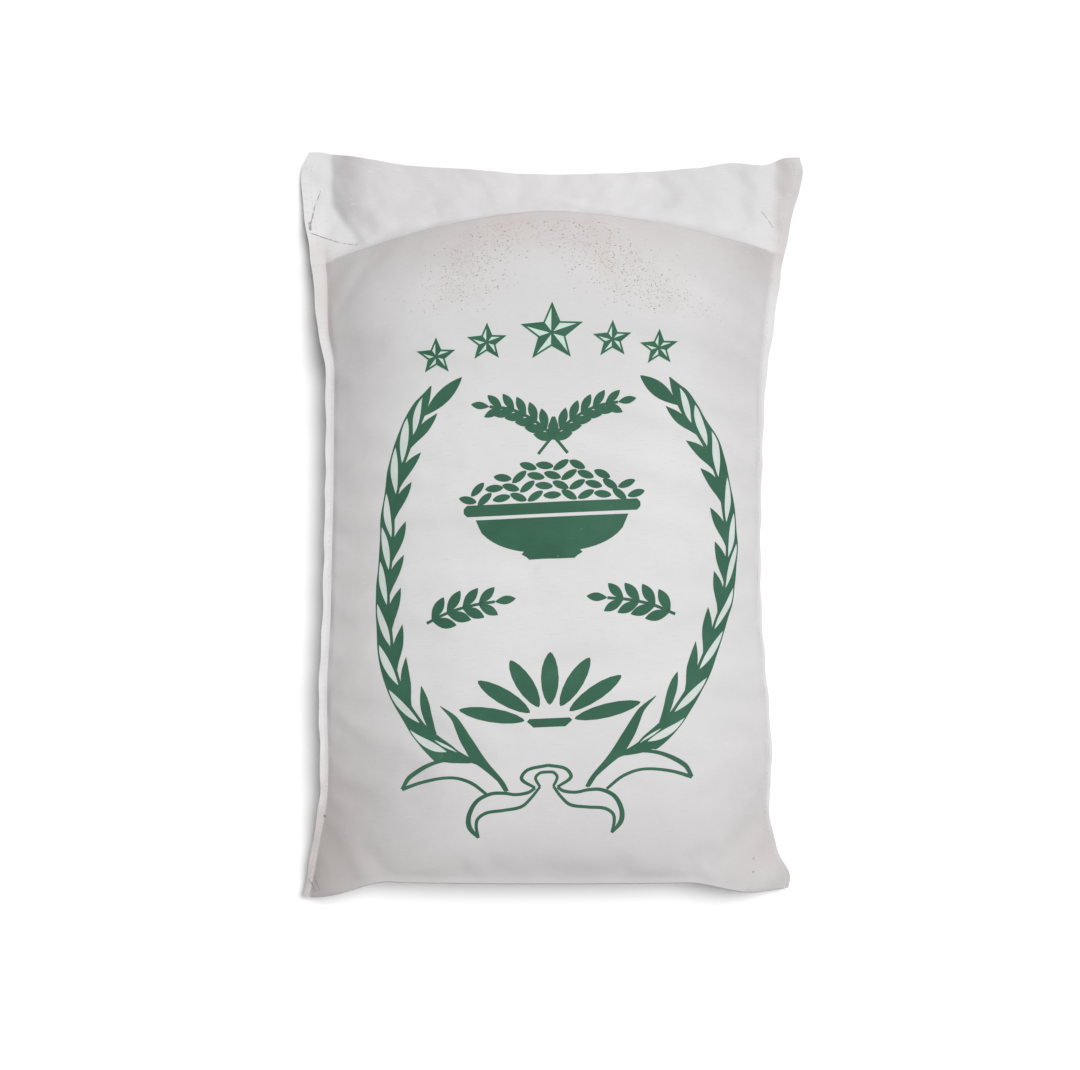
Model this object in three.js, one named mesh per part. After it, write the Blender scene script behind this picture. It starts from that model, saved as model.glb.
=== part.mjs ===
// A cotton sack of rice, filled, lying on its back with the printed face up.
//
// The sack is one length of white cotton folded in half: the fold is the bottom end, the two
// sides are sewn with the seam allowance outside, and the mouth is closed flat. Rice fills it
// from a steep brow above the bottom fold up to a curved shoulder. Past the shoulder the cloth
// is empty: a flat double flap with two ears.
//
// Frame: +Z up, +Y towards the mouth, +X to the right of the printed face. The origin is on the
// floor below the middle of the sack's outer box. All sizes are millimetres.
import * as THREE from "three";

// ---- driving sizes -------------------------------------------------------------------------
const CROWN_HEIGHT = 88; // highest point of the filled sack above the floor
const SHOULDER_HEIGHT = 71; // height of the shoulder, where the rice ends, at the middle
const BROW_HEIGHT = 69; // height of the brow above the bottom fold, at the middle
const CLOTH_PAIR = 2.4; // thickness of the two cloth layers where they lie together
const SIDE_SEAM_HEIGHT = 42; // height of the side seams along the filled length
const CORNER_HEIGHT = 12; // height of the two bottom corners
const FOLD_HEIGHT = 30; // height of the bottom fold at its middle
const EAR_HEIGHT = 4; // height of the ears' tips
const FLAP_ROOT_HEIGHT = 30; // height of the flap where it leaves the shoulder, at the middle
const FLAP_EDGE_HEIGHT = 5; // height of the mouth's edge
const SHOULDER_RUN = 8; // how far the steep wall below the shoulder runs towards the mouth
const BROW_RUN = 6; // how far the steep wall below the brow runs towards the bottom fold

// Outer edge of the cloth as [y, x] stations, from the bottom corner to the ear's tip.
const LEFT_EDGE = [
  [-295, -197], [-258, -189.5], [-208, -180.5], [-130, -181], [-67, -178], [119, -176],
  [151, -182.5], [200, -188.5], [250, -197], [268, -199], [283, -198], [295, -193.5],
];
const RIGHT_EDGE = [
  [-290, 187], [-277, 187.5], [-258, 178], [-225, 169.5], [-176, 170.5], [-52, 162], [104, 165.5],
  [152, 172.5], [200, 180.5], [249, 191.5], [277, 199], [291, 196],
];
// Width of the seam allowance that stands out from the filled body, as [y, width] stations.
const LEFT_SEAM_WIDTH = [[-295, 6], [-200, 8], [0, 7], [130, 7], [200, 11], [295, 11]];
const RIGHT_SEAM_WIDTH = [[-289, 5], [-150, 4], [60, 4], [150, 8], [200, 9], [291, 10]];
const SEAM_DROOP = 3; // how far the allowance's raw edge hangs below the seam

const BOTTOM_MIDDLE = -277; // y of the bottom fold at the middle
const LEFT_CORNER_REACH = 18; // how far the bottom corners are drawn out past the fold
const RIGHT_CORNER_REACH = 11.5;
const ARCH_MIDDLE = 240; // y of the shoulder at the middle
const LEFT_ARCH_FALL = 36; // how far the shoulder falls back to each side seam
const RIGHT_ARCH_FALL = 27;
const MOUTH_MIDDLE = 277.5; // y of the mouth's edge at the middle
const LEFT_EAR_REACH = 17.5; // how far the ears stand out past it
const RIGHT_EAR_REACH = 13;

// ---- small helpers -------------------------------------------------------------------------
const clamp01 = (t) => Math.min(1, Math.max(0, t));
const mix = (a, b, t) => a + (b - a) * t;
// Smooth step from 0 at a to 1 at b.
const smooth = (a, b, x) => {
  const t = clamp01((x - a) / (b - a));
  return t * t * (3 - 2 * t);
};
// A smooth hump of height 1 at the middle that ends within reach on both sides.
const hump = (x, middle, reach) => smooth(0, 1, 1 - Math.abs(x - middle) / reach);
// A quarter of a superellipse: 0 at t = 0, where it starts upright, and level 1 from t = 1 on.
const quarter = (t, squareness) => (1 - (1 - clamp01(t)) ** squareness) ** (1 / squareness);
// A smooth curve through [station, value] pairs.
function stations(table) {
  const slope = table.map((p, i) => {
    const before = table[Math.max(i - 1, 0)];
    const after = table[Math.min(i + 1, table.length - 1)];
    return (after[1] - before[1]) / (after[0] - before[0]);
  });
  return (at) => {
    let i = 0;
    while (i + 2 < table.length && at > table[i + 1][0]) i++;
    const [a, b] = [table[i], table[i + 1]];
    const run = b[0] - a[0];
    const t = clamp01((at - a[0]) / run);
    const [t2, t3] = [t * t, t * t * t];
    return (2 * t3 - 3 * t2 + 1) * a[1] + (t3 - 2 * t2 + t) * run * slope[i]
      + (3 * t2 - 2 * t3) * b[1] + (t3 - t2) * run * slope[i + 1];
  };
}

// ---- the sack seen from above --------------------------------------------------------------
// "across" runs from -1 at the left side seam to 1 at the right one, and on to -2 and 2 at the
// raw edges of the seam allowance. Past a seam, a height or an end is that of the seam itself.
const leftEdge = stations(LEFT_EDGE);
const rightEdge = stations(RIGHT_EDGE);
const leftSeamWidth = stations(LEFT_SEAM_WIDTH);
const rightSeamWidth = stations(RIGHT_SEAM_WIDTH);
const toSeam = (across) => Math.min(1, Math.max(-1, across));

function xAt(across, y) {
  const leftSeam = leftEdge(y) + leftSeamWidth(y);
  const rightSeam = rightEdge(y) - rightSeamWidth(y);
  const inside = mix(leftSeam, rightSeam, (toSeam(across) + 1) / 2);
  const allowance = across < 0 ? -leftSeamWidth(y) : rightSeamWidth(y);
  return inside + allowance * Math.max(0, Math.abs(across) - 1);
}

// y of the bottom fold: nearly straight, with the two corners drawn outwards.
const bottomY = (across) => BOTTOM_MIDDLE
  - LEFT_CORNER_REACH * smooth(0.65, 1, -across) - RIGHT_CORNER_REACH * smooth(0.55, 0.9, across);
const browY = (across) => bottomY(across) + BROW_RUN;
// y of the shoulder, an arch between the side seams.
const archY = (across) => ARCH_MIDDLE
  - (across < 0 ? LEFT_ARCH_FALL : RIGHT_ARCH_FALL) * Math.abs(toSeam(across)) ** 1.6;
// y of the mouth's edge: it sags between the ears, and waves a little.
const mouthY = (across) => MOUTH_MIDDLE
  + (across < 0 ? LEFT_EAR_REACH : RIGHT_EAR_REACH) * toSeam(across) ** 2
  + 1.8 * hump(across, -0.4, 0.3) + 1.8 * hump(across, 0.73, 0.12) - 3.2 * hump(across, 0.89, 0.1);

// ---- heights of the filled body ------------------------------------------------------------
// Height of the side seams: high along the filled part, low at the corners and at the ears.
const seamHeight = (y) => CORNER_HEIGHT
  + (SIDE_SEAM_HEIGHT - CORNER_HEIGHT) * smooth(-300, -190, y)
  - (SIDE_SEAM_HEIGHT - EAR_HEIGHT) * smooth(110, 292, y);

// Mid surface that the front and back panels part from, "along" the body from brow to shoulder.
const midHeight = (across, along, y) => seamHeight(y)
  + (FOLD_HEIGHT - CORNER_HEIGHT) * (1 - Math.abs(across) ** 5) * (1 - smooth(0, 0.2, along));

// Height of the front panel at the body's middle line: level, falling gently to either end.
const ridgeHeight = (along) => CROWN_HEIGHT
  - (CROWN_HEIGHT - BROW_HEIGHT) * clamp01(1 - along / 0.19) ** 3
  - (CROWN_HEIGHT - SHOULDER_HEIGHT) * clamp01((along - 0.45) / 0.55) ** 2.2;

// Across, the front is a lens that meets the side seams at about forty degrees.
function frontHeight(across, along, y) {
  const mid = midHeight(across, along, y);
  return mid + (ridgeHeight(along) - mid) * (1 - Math.abs(across) ** 2.7);
}

// The back lies on the floor, and is rounded up to the seams and to both ends.
function backHeight(across, along, y) {
  const mid = midHeight(across, along, y);
  const section = quarter((1 - Math.abs(across)) / 0.3, 2.2);
  const rise = quarter((along + 0.01) / 0.09, 2.2) * quarter((1.02 - along) / 0.1, 2.2);
  return mid * (1 - section * rise);
}

// ---- heights of the empty flap -------------------------------------------------------------
// "up" runs from 0 at the flap's root below the shoulder to 1 at the mouth's edge. The folds are
// a pleat beside the left ear, a turned strip at the right one, and soft waves between them.
function flapHeight(across, up, rootY) {
  const root = mix(FLAP_ROOT_HEIGHT, seamHeight(rootY), Math.abs(across) ** 4);
  const rest = mix(FLAP_EDGE_HEIGHT, EAR_HEIGHT, Math.abs(across) ** 6);
  const pleat = 6.5 * smooth(-0.9, -0.82, across) * (1 - smooth(-0.82, -0.55, across));
  const turned = 4.5 * hump(across, 0.87, 0.1);
  const waves = 2.2 * hump(across, -0.25, 0.3) + 1.6 * hump(across, 0.22, 0.26)
    + 1.8 * hump(across, 0.58, 0.2);
  return mix(root, rest, 1 - (1 - up) ** 2) + (pleat + turned + waves) * smooth(0, 0.5, up);
}

// ---- rows of the two cloth layers ----------------------------------------------------------
// Each row gives, for a place across, [x, y, height of the front, height of the back].
const HALF_PAIR = CLOTH_PAIR / 2;

function layerPoint(across, y, front, back) {
  const droop = SEAM_DROOP * Math.max(0, Math.abs(across) - 1);
  return [xAt(across, y), y, front + HALF_PAIR - droop, Math.max(0, back - HALF_PAIR - droop)];
}

function bodyPoint(across, along) {
  const inside = toSeam(across);
  const y = mix(browY(across), archY(across), along);
  return layerPoint(across, y, frontHeight(inside, along, y), backHeight(inside, along, y));
}

// At either end of the body the front panel turns down in a quarter round, "down" from 0 to 1,
// to where it meets the back panel: at the bottom fold, or at the root of the flap.
function wallPoint(across, down, end, y, run, foot) {
  const inside = toSeam(across);
  const front = mix(frontHeight(inside, end, y), foot, 1 - Math.sqrt(1 - down * down));
  const back = mix(backHeight(inside, end, y), foot, down);
  return layerPoint(across, y + run * quarter(down, 2), front, back);
}

function browPoint(across, down) {
  const y = browY(across);
  return wallPoint(across, down, 0, y, -BROW_RUN, midHeight(toSeam(across), 0, y));
}

function shoulderPoint(across, down) {
  const y = archY(across);
  return wallPoint(across, down, 1, y, SHOULDER_RUN, flapHeight(toSeam(across), 0, y));
}

function flapPoint(across, up) {
  const y = mix(archY(across) + SHOULDER_RUN, mouthY(across), up);
  const height = flapHeight(toSeam(across), up, archY(across));
  return layerPoint(across, y, height, height);
}

// ---- the grid ------------------------------------------------------------------------------
const COLUMNS_BETWEEN_SEAMS = 40;
const BODY_ROWS = 28;
const WALL_ROWS = 4;
const FLAP_ROWS = 9;

const columns = [-2, -1.5];
for (let i = 0; i <= COLUMNS_BETWEEN_SEAMS; i++) {
  columns.push(Math.sin((i / COLUMNS_BETWEEN_SEAMS - 0.5) * Math.PI));
}
columns.push(1.5, 2);

const rows = [];
const wallStep = (i) => Math.sin((i / WALL_ROWS) * Math.PI / 2);
for (let i = WALL_ROWS; i > 0; i--) {
  rows.push((across) => browPoint(across, wallStep(i)));
}
for (let i = 0; i <= BODY_ROWS; i++) {
  const along = mix(i / BODY_ROWS, 1 - Math.cos((i / BODY_ROWS) * Math.PI / 2), 0.6);
  rows.push((across) => bodyPoint(across, along));
}
for (let i = 1; i <= WALL_ROWS; i++) {
  rows.push((across) => shoulderPoint(across, wallStep(i)));
}
for (let i = 1; i <= FLAP_ROWS; i++) {
  rows.push((across) => flapPoint(across, i / FLAP_ROWS));
}

// Two layers joined round their rims into one closed skin.
function clothShell() {
  const width = columns.length;
  const layer = width * rows.length;
  const positions = new Float32Array(layer * 2 * 3);
  rows.forEach((row, j) => columns.forEach((column, i) => {
    const [x, y, front, back] = row(column);
    positions.set([x, y, front], (j * width + i) * 3);
    positions.set([x, y, back], (layer + j * width + i) * 3);
  }));
  const faces = [];
  const quad = (a, b, c, d) => faces.push(a, b, c, a, c, d);
  for (let j = 0; j + 1 < rows.length; j++) {
    for (let i = 0; i + 1 < width; i++) {
      const a = j * width + i;
      quad(a, a + 1, a + width + 1, a + width);
      quad(layer + a, layer + a + width, layer + a + width + 1, layer + a + 1);
    }
  }
  const rim = [];
  for (let i = 0; i + 1 < width; i++) rim.push(i);
  for (let j = 0; j + 1 < rows.length; j++) rim.push(j * width + width - 1);
  for (let i = width - 1; i > 0; i--) rim.push((rows.length - 1) * width + i);
  for (let j = rows.length - 1; j > 0; j--) rim.push(j * width);
  rim.forEach((a, k) => {
    const b = rim[(k + 1) % rim.length];
    quad(b, a, layer + a, layer + b);
  });
  const geometry = new THREE.BufferGeometry();
  geometry.setAttribute("position", new THREE.BufferAttribute(positions, 3));
  geometry.setIndex(faces);
  geometry.computeVertexNormals();
  return geometry;
}

const cotton = new THREE.MeshStandardMaterial({ color: 0xdedcdb, roughness: 0.95, metalness: 0 });
const sack = new THREE.Mesh(clothShell(), cotton);
sack.name = "rice_sack";

const model = new THREE.Group();
model.add(sack);
export default model;
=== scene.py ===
import math

import bmesh
import bpy
import numpy as np
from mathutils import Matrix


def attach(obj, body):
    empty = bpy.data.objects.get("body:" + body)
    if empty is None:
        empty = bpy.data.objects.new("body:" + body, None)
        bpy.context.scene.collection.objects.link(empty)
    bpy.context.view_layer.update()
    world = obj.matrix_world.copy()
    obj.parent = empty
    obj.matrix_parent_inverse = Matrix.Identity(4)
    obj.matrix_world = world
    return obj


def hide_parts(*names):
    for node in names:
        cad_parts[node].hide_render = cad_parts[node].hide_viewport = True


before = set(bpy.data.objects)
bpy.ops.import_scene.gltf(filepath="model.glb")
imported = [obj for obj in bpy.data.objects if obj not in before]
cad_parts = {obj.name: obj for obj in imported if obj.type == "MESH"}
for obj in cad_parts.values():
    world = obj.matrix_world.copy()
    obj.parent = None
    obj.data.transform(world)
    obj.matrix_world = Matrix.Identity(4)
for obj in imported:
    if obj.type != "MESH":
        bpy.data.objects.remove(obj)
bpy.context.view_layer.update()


# ---- The camera ----------------------------------------------------------------------------
# It hangs a metre and a half above the floor and looks straight down, as the sack was
# photographed from in front while it stood; the top of the picture is the sack's mouth.
camera_place = (-0.0096, -0.0091, 1.5)
picture_width = 1080
focal_length_in_pixels = 1878.7

camera_data = bpy.data.cameras.new("camera")
camera_data.sensor_fit = "HORIZONTAL"
camera_data.sensor_width = 36.0
camera_data.lens = camera_data.sensor_width * focal_length_in_pixels / picture_width
camera = bpy.data.objects.new("camera", camera_data)
camera.location = camera_place
bpy.context.collection.objects.link(camera)
bpy.context.scene.camera = camera


# ---- The sack ------------------------------------------------------------------------------
# One length of plain white cotton, folded at the bottom end and sewn up both sides with the
# seam allowance outside. Rice fills it from a steep brow at the fold to a curved shoulder;
# past the shoulder the two layers lie empty, with an ear at each end of the mouth.
mm = 0.001
crown_height = 88
shoulder_height = 71
brow_height = 69
cloth_pair = 2.4
side_seam_height = 42
corner_height = 12
fold_height = 30
ear_height = 4
flap_root_height = 30
flap_edge_height = 5
shoulder_run = 8
brow_run = 6
left_edge = [
    (-295, -197), (-258, -189.5), (-208, -180.5), (-130, -181), (-67, -178), (119, -176),
    (151, -182.5), (200, -188.5), (250, -197), (268, -199), (283, -198), (295, -193.5),
]
right_edge = [
    (-290, 187), (-277, 187.5), (-258, 178), (-225, 169.5), (-176, 170.5), (-52, 162),
    (104, 165.5), (152, 172.5), (200, 180.5), (249, 191.5), (277, 199), (291, 196),
]
left_seam_width = [(-295, 5), (-200, 6), (0, 6), (130, 7), (200, 11), (295, 11)]
right_seam_width = [(-289, 5), (-150, 4), (60, 4), (150, 8), (200, 9), (291, 10)]
left_seam_droop = -1.2
right_seam_droop = 2.6
seam_pinch = 1.1
root_fillet = 13
bottom_middle = -277
left_corner_reach = 18
right_corner_reach = 11.5
arch_middle = 231
left_arch_fall = 36
right_arch_fall = 27
mouth_middle = 277.5
left_ear_reach = 17.5
right_ear_reach = 13


def mix(a, b, t):
    return a + (b - a) * t


def smooth(start, end, x):
    t = np.clip((x - start) / (end - start), 0, 1)
    return t * t * (3 - 2 * t)


def hump(x, middle, reach):
    """A smooth rise to 1 at the middle that ends within reach on both sides."""
    return smooth(0, 1, 1 - np.abs(x - middle) / reach)


def quarter(t, squareness):
    """A quarter of a superellipse, upright at 0 and level from 1 on."""
    return (1 - (1 - np.clip(t, 0, 1)) ** squareness) ** (1 / squareness)


def stations(table):
    """A smooth curve through (place, value) pairs."""
    places, values = np.array(table, float).T
    last = len(places) - 1
    before = np.maximum(np.arange(last + 1) - 1, 0)
    after = np.minimum(np.arange(last + 1) + 1, last)
    slopes = (values[after] - values[before]) / (places[after] - places[before])

    def curve(at):
        i = np.clip(np.searchsorted(places, at) - 1, 0, last - 1)
        run = places[i + 1] - places[i]
        t = np.clip((at - places[i]) / run, 0, 1)
        return (
            (2 * t**3 - 3 * t**2 + 1) * values[i] + (t**3 - 2 * t**2 + t) * run * slopes[i]
            + (3 * t**2 - 2 * t**3) * values[i + 1] + (t**3 - t**2) * run * slopes[i + 1]
        )

    return curve


left_edge_at = stations(left_edge)
right_edge_at = stations(right_edge)
left_seam_width_at = stations(left_seam_width)
right_seam_width_at = stations(right_seam_width)


# "Across" runs from -1 at the left side seam to 1 at the right one, and on to -2 and 2 at the
# raw edges of the seam allowance.
def to_seam(across):
    return np.clip(across, -1, 1)


def seams_at(y):
    """x of the left and of the right side seam."""
    return left_edge_at(y) + left_seam_width_at(y), right_edge_at(y) - right_seam_width_at(y)


def across_at(x, y):
    left_seam, right_seam = seams_at(y)
    return 2 * (x - left_seam) / (right_seam - left_seam) - 1


def x_at(across, y):
    left_seam, right_seam = seams_at(y)
    allowance = np.where(across < 0, -left_seam_width_at(y), right_seam_width_at(y))
    inside = mix(left_seam, right_seam, (to_seam(across) + 1) / 2)
    return inside + allowance * np.maximum(0, np.abs(across) - 1)


def brow_y(across):
    left_corner = left_corner_reach * smooth(0.65, 1, -across)
    right_corner = right_corner_reach * smooth(0.55, 0.9, across)
    return bottom_middle - left_corner - right_corner + brow_run


def arch_y(across):
    fall = np.where(across < 0, left_arch_fall, right_arch_fall)
    return arch_middle - fall * np.abs(to_seam(across)) ** 1.6


def mouth_y(across):
    reach = np.where(across < 0, left_ear_reach, right_ear_reach)
    waves = 1.8 * hump(across, -0.4, 0.3) + 1.8 * hump(across, 0.73, 0.12)
    return mouth_middle + reach * to_seam(across) ** 2 + waves - 3.2 * hump(across, 0.89, 0.1)


def seam_height(y):
    risen = mix(corner_height, side_seam_height, smooth(-300, -190, y))
    return risen - (side_seam_height - ear_height) * smooth(110, 292, y)


def mid_height(across, along, y):
    fold = (fold_height - corner_height) * (1 - np.abs(across) ** 5)
    return seam_height(y) + fold * (1 - smooth(0, 0.2, along))


def ridge_height(along):
    to_brow = (crown_height - brow_height) * np.clip(1 - along / 0.19, 0, 1) ** 3
    to_shoulder = (crown_height - shoulder_height) * np.clip((along - 0.45) / 0.55, 0, 1) ** 2.2
    return crown_height - to_brow - to_shoulder


def front_height(across, along, y):
    mid = mid_height(across, along, y)
    return mid + (ridge_height(along) - mid) * (1 - np.abs(across) ** 2.7)


def back_height(across, along, y):
    section = quarter((1 - np.abs(across)) / 0.3, 2.2)
    rise = quarter((along + 0.01) / 0.09, 2.2) * quarter((1.02 - along) / 0.1, 2.2)
    return mid_height(across, along, y) * (1 - section * rise)


def flap_height(across, up, root_y):
    root = mix(flap_root_height, seam_height(root_y), np.abs(across) ** 4)
    rest = mix(flap_edge_height, ear_height, np.abs(across) ** 6)
    waves = (
        2.2 * hump(across, -0.25, 0.3) + 1.6 * hump(across, 0.22, 0.26)
        + 1.8 * hump(across, 0.58, 0.2)
    )
    fillet = root_fillet * (1 - np.abs(across) ** 7) * np.clip(1 - up / 0.2, 0, 1) ** 2.4
    return mix(root, rest, 1 - (1 - up) ** 2) + waves * smooth(0, 0.5, up) + fillet


# A row of the cloth gives x, y and the heights of the front and of the back layer.
def layers(across, y, front, back):
    droop = np.where(across < 0, left_seam_droop, right_seam_droop) * np.maximum(0, np.abs(across) - 1)
    at_seam = np.clip(1 - np.abs(np.abs(across) - 1) / 0.02, 0, 1)
    pair = cloth_pair / 2 - seam_pinch * at_seam * (1 - smooth(196, 222, y)) * smooth(-270, -190, y)
    return np.stack([
        x_at(across, y), y, front + pair - droop, np.maximum(0, back - pair - droop),
    ])


def body_row(across, along):
    inside = to_seam(across)
    y = mix(brow_y(across), arch_y(across), along)
    return layers(across, y, front_height(inside, along, y), back_height(inside, along, y))


def wall_row(across, down, end, y, run, foot):
    inside = to_seam(across)
    front = mix(front_height(inside, end, y), foot, 1 - math.sqrt(1 - down * down))
    back = mix(back_height(inside, end, y), foot, down)
    return layers(across, y + run * quarter(down, 2), front, back)


def brow_row(across, down):
    y = brow_y(across)
    return wall_row(across, down, 0, y, -brow_run, mid_height(to_seam(across), 0, y))


def shoulder_row(across, down):
    y = arch_y(across)
    return wall_row(across, down, 1, y, shoulder_run, flap_height(to_seam(across), 0, y))


def flap_row(across, up):
    y = mix(arch_y(across) + shoulder_run, mouth_y(across), up)
    height = flap_height(to_seam(across), up, arch_y(across))
    return layers(across, y, height, height)


# Columns are evenly spaced over the cloth, measured along the front panel at its middle.
columns_between_seams = 144
allowance_columns = 3
fine = np.linspace(-1, 1, 2001)
middle_row = body_row(fine, 0.5)
fine_steps = np.hypot(np.diff(middle_row[0]), np.diff(middle_row[2]))
fine_cloth = np.concatenate([[0], np.cumsum(fine_steps)])
cloth_width = fine_cloth[-1]
even_cloth = np.linspace(0, cloth_width, columns_between_seams + 1)
allowance = np.linspace(1, 2, allowance_columns + 1)[1:]
across_columns = np.concatenate([
    -allowance[::-1], np.interp(even_cloth, fine_cloth, fine), allowance,
])

body_rows = 190
wall_rows = 6
flap_rows = 34
along_steps = np.linspace(0, 1, body_rows + 1)
down_steps = np.sin(np.linspace(0, 1, wall_rows + 1)[1:] * math.pi / 2)
up_steps = np.linspace(0, 1, flap_rows + 1)[1:]
cloth_rows = [brow_row(across_columns, down) for down in down_steps[::-1]]
cloth_rows += [body_row(across_columns, along) for along in along_steps]
cloth_rows += [shoulder_row(across_columns, down) for down in down_steps]
cloth_rows += [flap_row(across_columns, up) for up in up_steps]
cloth = np.array(cloth_rows).transpose(0, 2, 1)
row_count, column_count = cloth.shape[:2]
first_body_row = wall_rows
first_flap_row = wall_rows + body_rows + 1 + wall_rows

# The folds pressed into the empty flap, the same in both layers: a pleat beside the left ear
# that is wide at the mouth and runs out at the shoulder, the turned strip of the right ear, a
# raised place with a dent in it, and a few creases.
pleat_line = [(200, -138), (219, -150), (253, -175), (300, -175.5)]
pleat_rise = 9
pleat_width = 19
pleat_fall = 62
right_ear_line = 177.5


def crease(x, y, start, end, depth, width):
    """A thin dent along a straight line from start to end."""
    run_x = end[0] - start[0]
    run_y = end[1] - start[1]
    length = math.hypot(run_x, run_y)
    along = ((x - start[0]) * run_x + (y - start[1]) * run_y) / length**2
    off = ((x - start[0]) * run_y - (y - start[1]) * run_x) / length
    within = smooth(-0.1, 0.3, along) * smooth(-0.1, 0.3, 1 - along)
    return -depth * np.exp(-((off / width) ** 2)) * within


ripple_waves = [
    # wave length, way it runs in degrees, start, height
    (41, 12, 0.3, 0.5), (27, -21, 1.9, 0.4), (19, 38, 4.2, 0.28), (33, 74, 2.6, 0.3),
    (14, -52, 0.9, 0.16), (11, 8, 3.3, 0.12),
]


def ripples(x, y):
    """Small soft unevenness of cloth that hangs loose."""
    total = np.zeros_like(x)
    bend_x = x + 9 * np.sin(y / 23 + 0.7)
    bend_y = y + 7 * np.sin(x / 31 + 2.1)
    for wave_length, way, start, height in ripple_waves:
        angle = math.radians(way)
        run = bend_x * math.cos(angle) + bend_y * math.sin(angle)
        total += height * np.sin(2 * math.pi * run / wave_length + start)
    return total


def flap_folds(x, y):
    pleat_y, pleat_x = np.array(pleat_line, float).T
    beside = x - np.interp(y, pleat_y, pleat_x)
    open_share = smooth(214, 262, y)
    width = pleat_width * mix(0.4, 1, open_share)
    up_slope = 1 - (1 - np.clip(beside / width, 0, 1)) ** 2
    down_slope = 1 - smooth(0, pleat_fall, beside - width)
    pleat = pleat_rise * mix(0.4, 1, open_share) * up_slope * down_slope
    ear = 0.07 * np.clip(-beside, 0, 30)
    turned = 0.3 * np.clip(x - right_ear_line, 0, 30) + 2.0 * hump(x, right_ear_line - 15, 15)
    raised = 2.2 * hump(x, -96, 30) * hump(y, 250, 20)
    soft = (
        crease(x, y, (71, 276), (101, 252), 3.6, 8) + crease(x, y, (-27, 280), (-27, 246), 1.0, 4)
        + crease(x, y, (-99, 256), (-88, 242), 1.6, 3) + crease(x, y, (-10, 258), (58, 243), 1.2, 3)
        + crease(x, y, (164, 251), (179, 231), 2.2, 3) + crease(x, y, (-186, 262), (-192, 236), 1.2, 2.5)
        + crease(x, y, (-190, 231), (-152, 219), 1.4, 3)
    )
    return pleat + ear + turned + raised + soft + ripples(x, y)


flap_part = cloth[first_flap_row:]
flap_up = up_steps[:, None]
fold_fade = smooth(0, 0.14, flap_up)
folds = flap_folds(flap_part[:, :, 0], flap_part[:, :, 1]) * fold_fade
flap_part[:, :, 2:] += folds[:, :, None]
flap_part[:, :, 3] = np.maximum(flap_part[:, :, 3], 0)
flap_part[:, :, 2] = np.maximum(flap_part[:, :, 2], flap_part[:, :, 3] + 0.8)

# The rice presses the cloth out while the seams hold it, so it puckers along them. A coarse copy
# of the filled part is blown up as cloth that is a little too long for its seams, and only the
# small folds of the result are kept, because the large form is drawn above.
pressed_step = 2
pressure = 3.0
spare_cloth = 0.035
pressed_frames = 22
pucker_reach = 5.0
deepest_pucker = 1.6
pucker_share = 0.9


def blurred(grid, reach):
    """The grid with each column and row averaged over its neighbours."""
    offsets = np.arange(-int(3 * reach), int(3 * reach) + 1)
    weights = np.exp(-0.5 * (offsets / reach) ** 2)
    weights /= weights.sum()
    for axis in (0, 1):
        sides = [(0, 0)] * grid.ndim
        sides[axis] = (len(offsets) // 2, len(offsets) // 2)
        wide = np.pad(grid, sides, mode="edge")
        grid = sum(
            weight * np.take(wide, np.arange(grid.shape[axis]) + place, axis=axis)
            for place, weight in enumerate(weights)
        )
    return grid


def two_layers(rows, columns):
    """Quads of a front and a back grid, and the ring of points round the front one."""
    j, i = np.meshgrid(np.arange(rows - 1), np.arange(columns - 1), indexing="ij")
    a = (j * columns + i).ravel()
    front = np.stack([a, a + 1, a + columns + 1, a + columns], axis=1)
    back = np.stack([a, a + columns, a + columns + 1, a + 1], axis=1) + rows * columns
    ring = np.concatenate([
        np.arange(columns - 1), np.arange(rows - 1) * columns + columns - 1,
        (rows - 1) * columns + np.arange(columns - 1, 0, -1), np.arange(rows - 1, 0, -1) * columns,
    ])
    return np.concatenate([front, back]), ring


def tube_faces(rows, columns):
    """Front, back and a strip that joins them all round."""
    faces, ring = two_layers(rows, columns)
    layer = rows * columns
    following = np.roll(ring, -1)
    strip = np.stack([following, ring, ring + layer, following + layer], axis=1)
    return np.concatenate([faces, strip])


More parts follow.
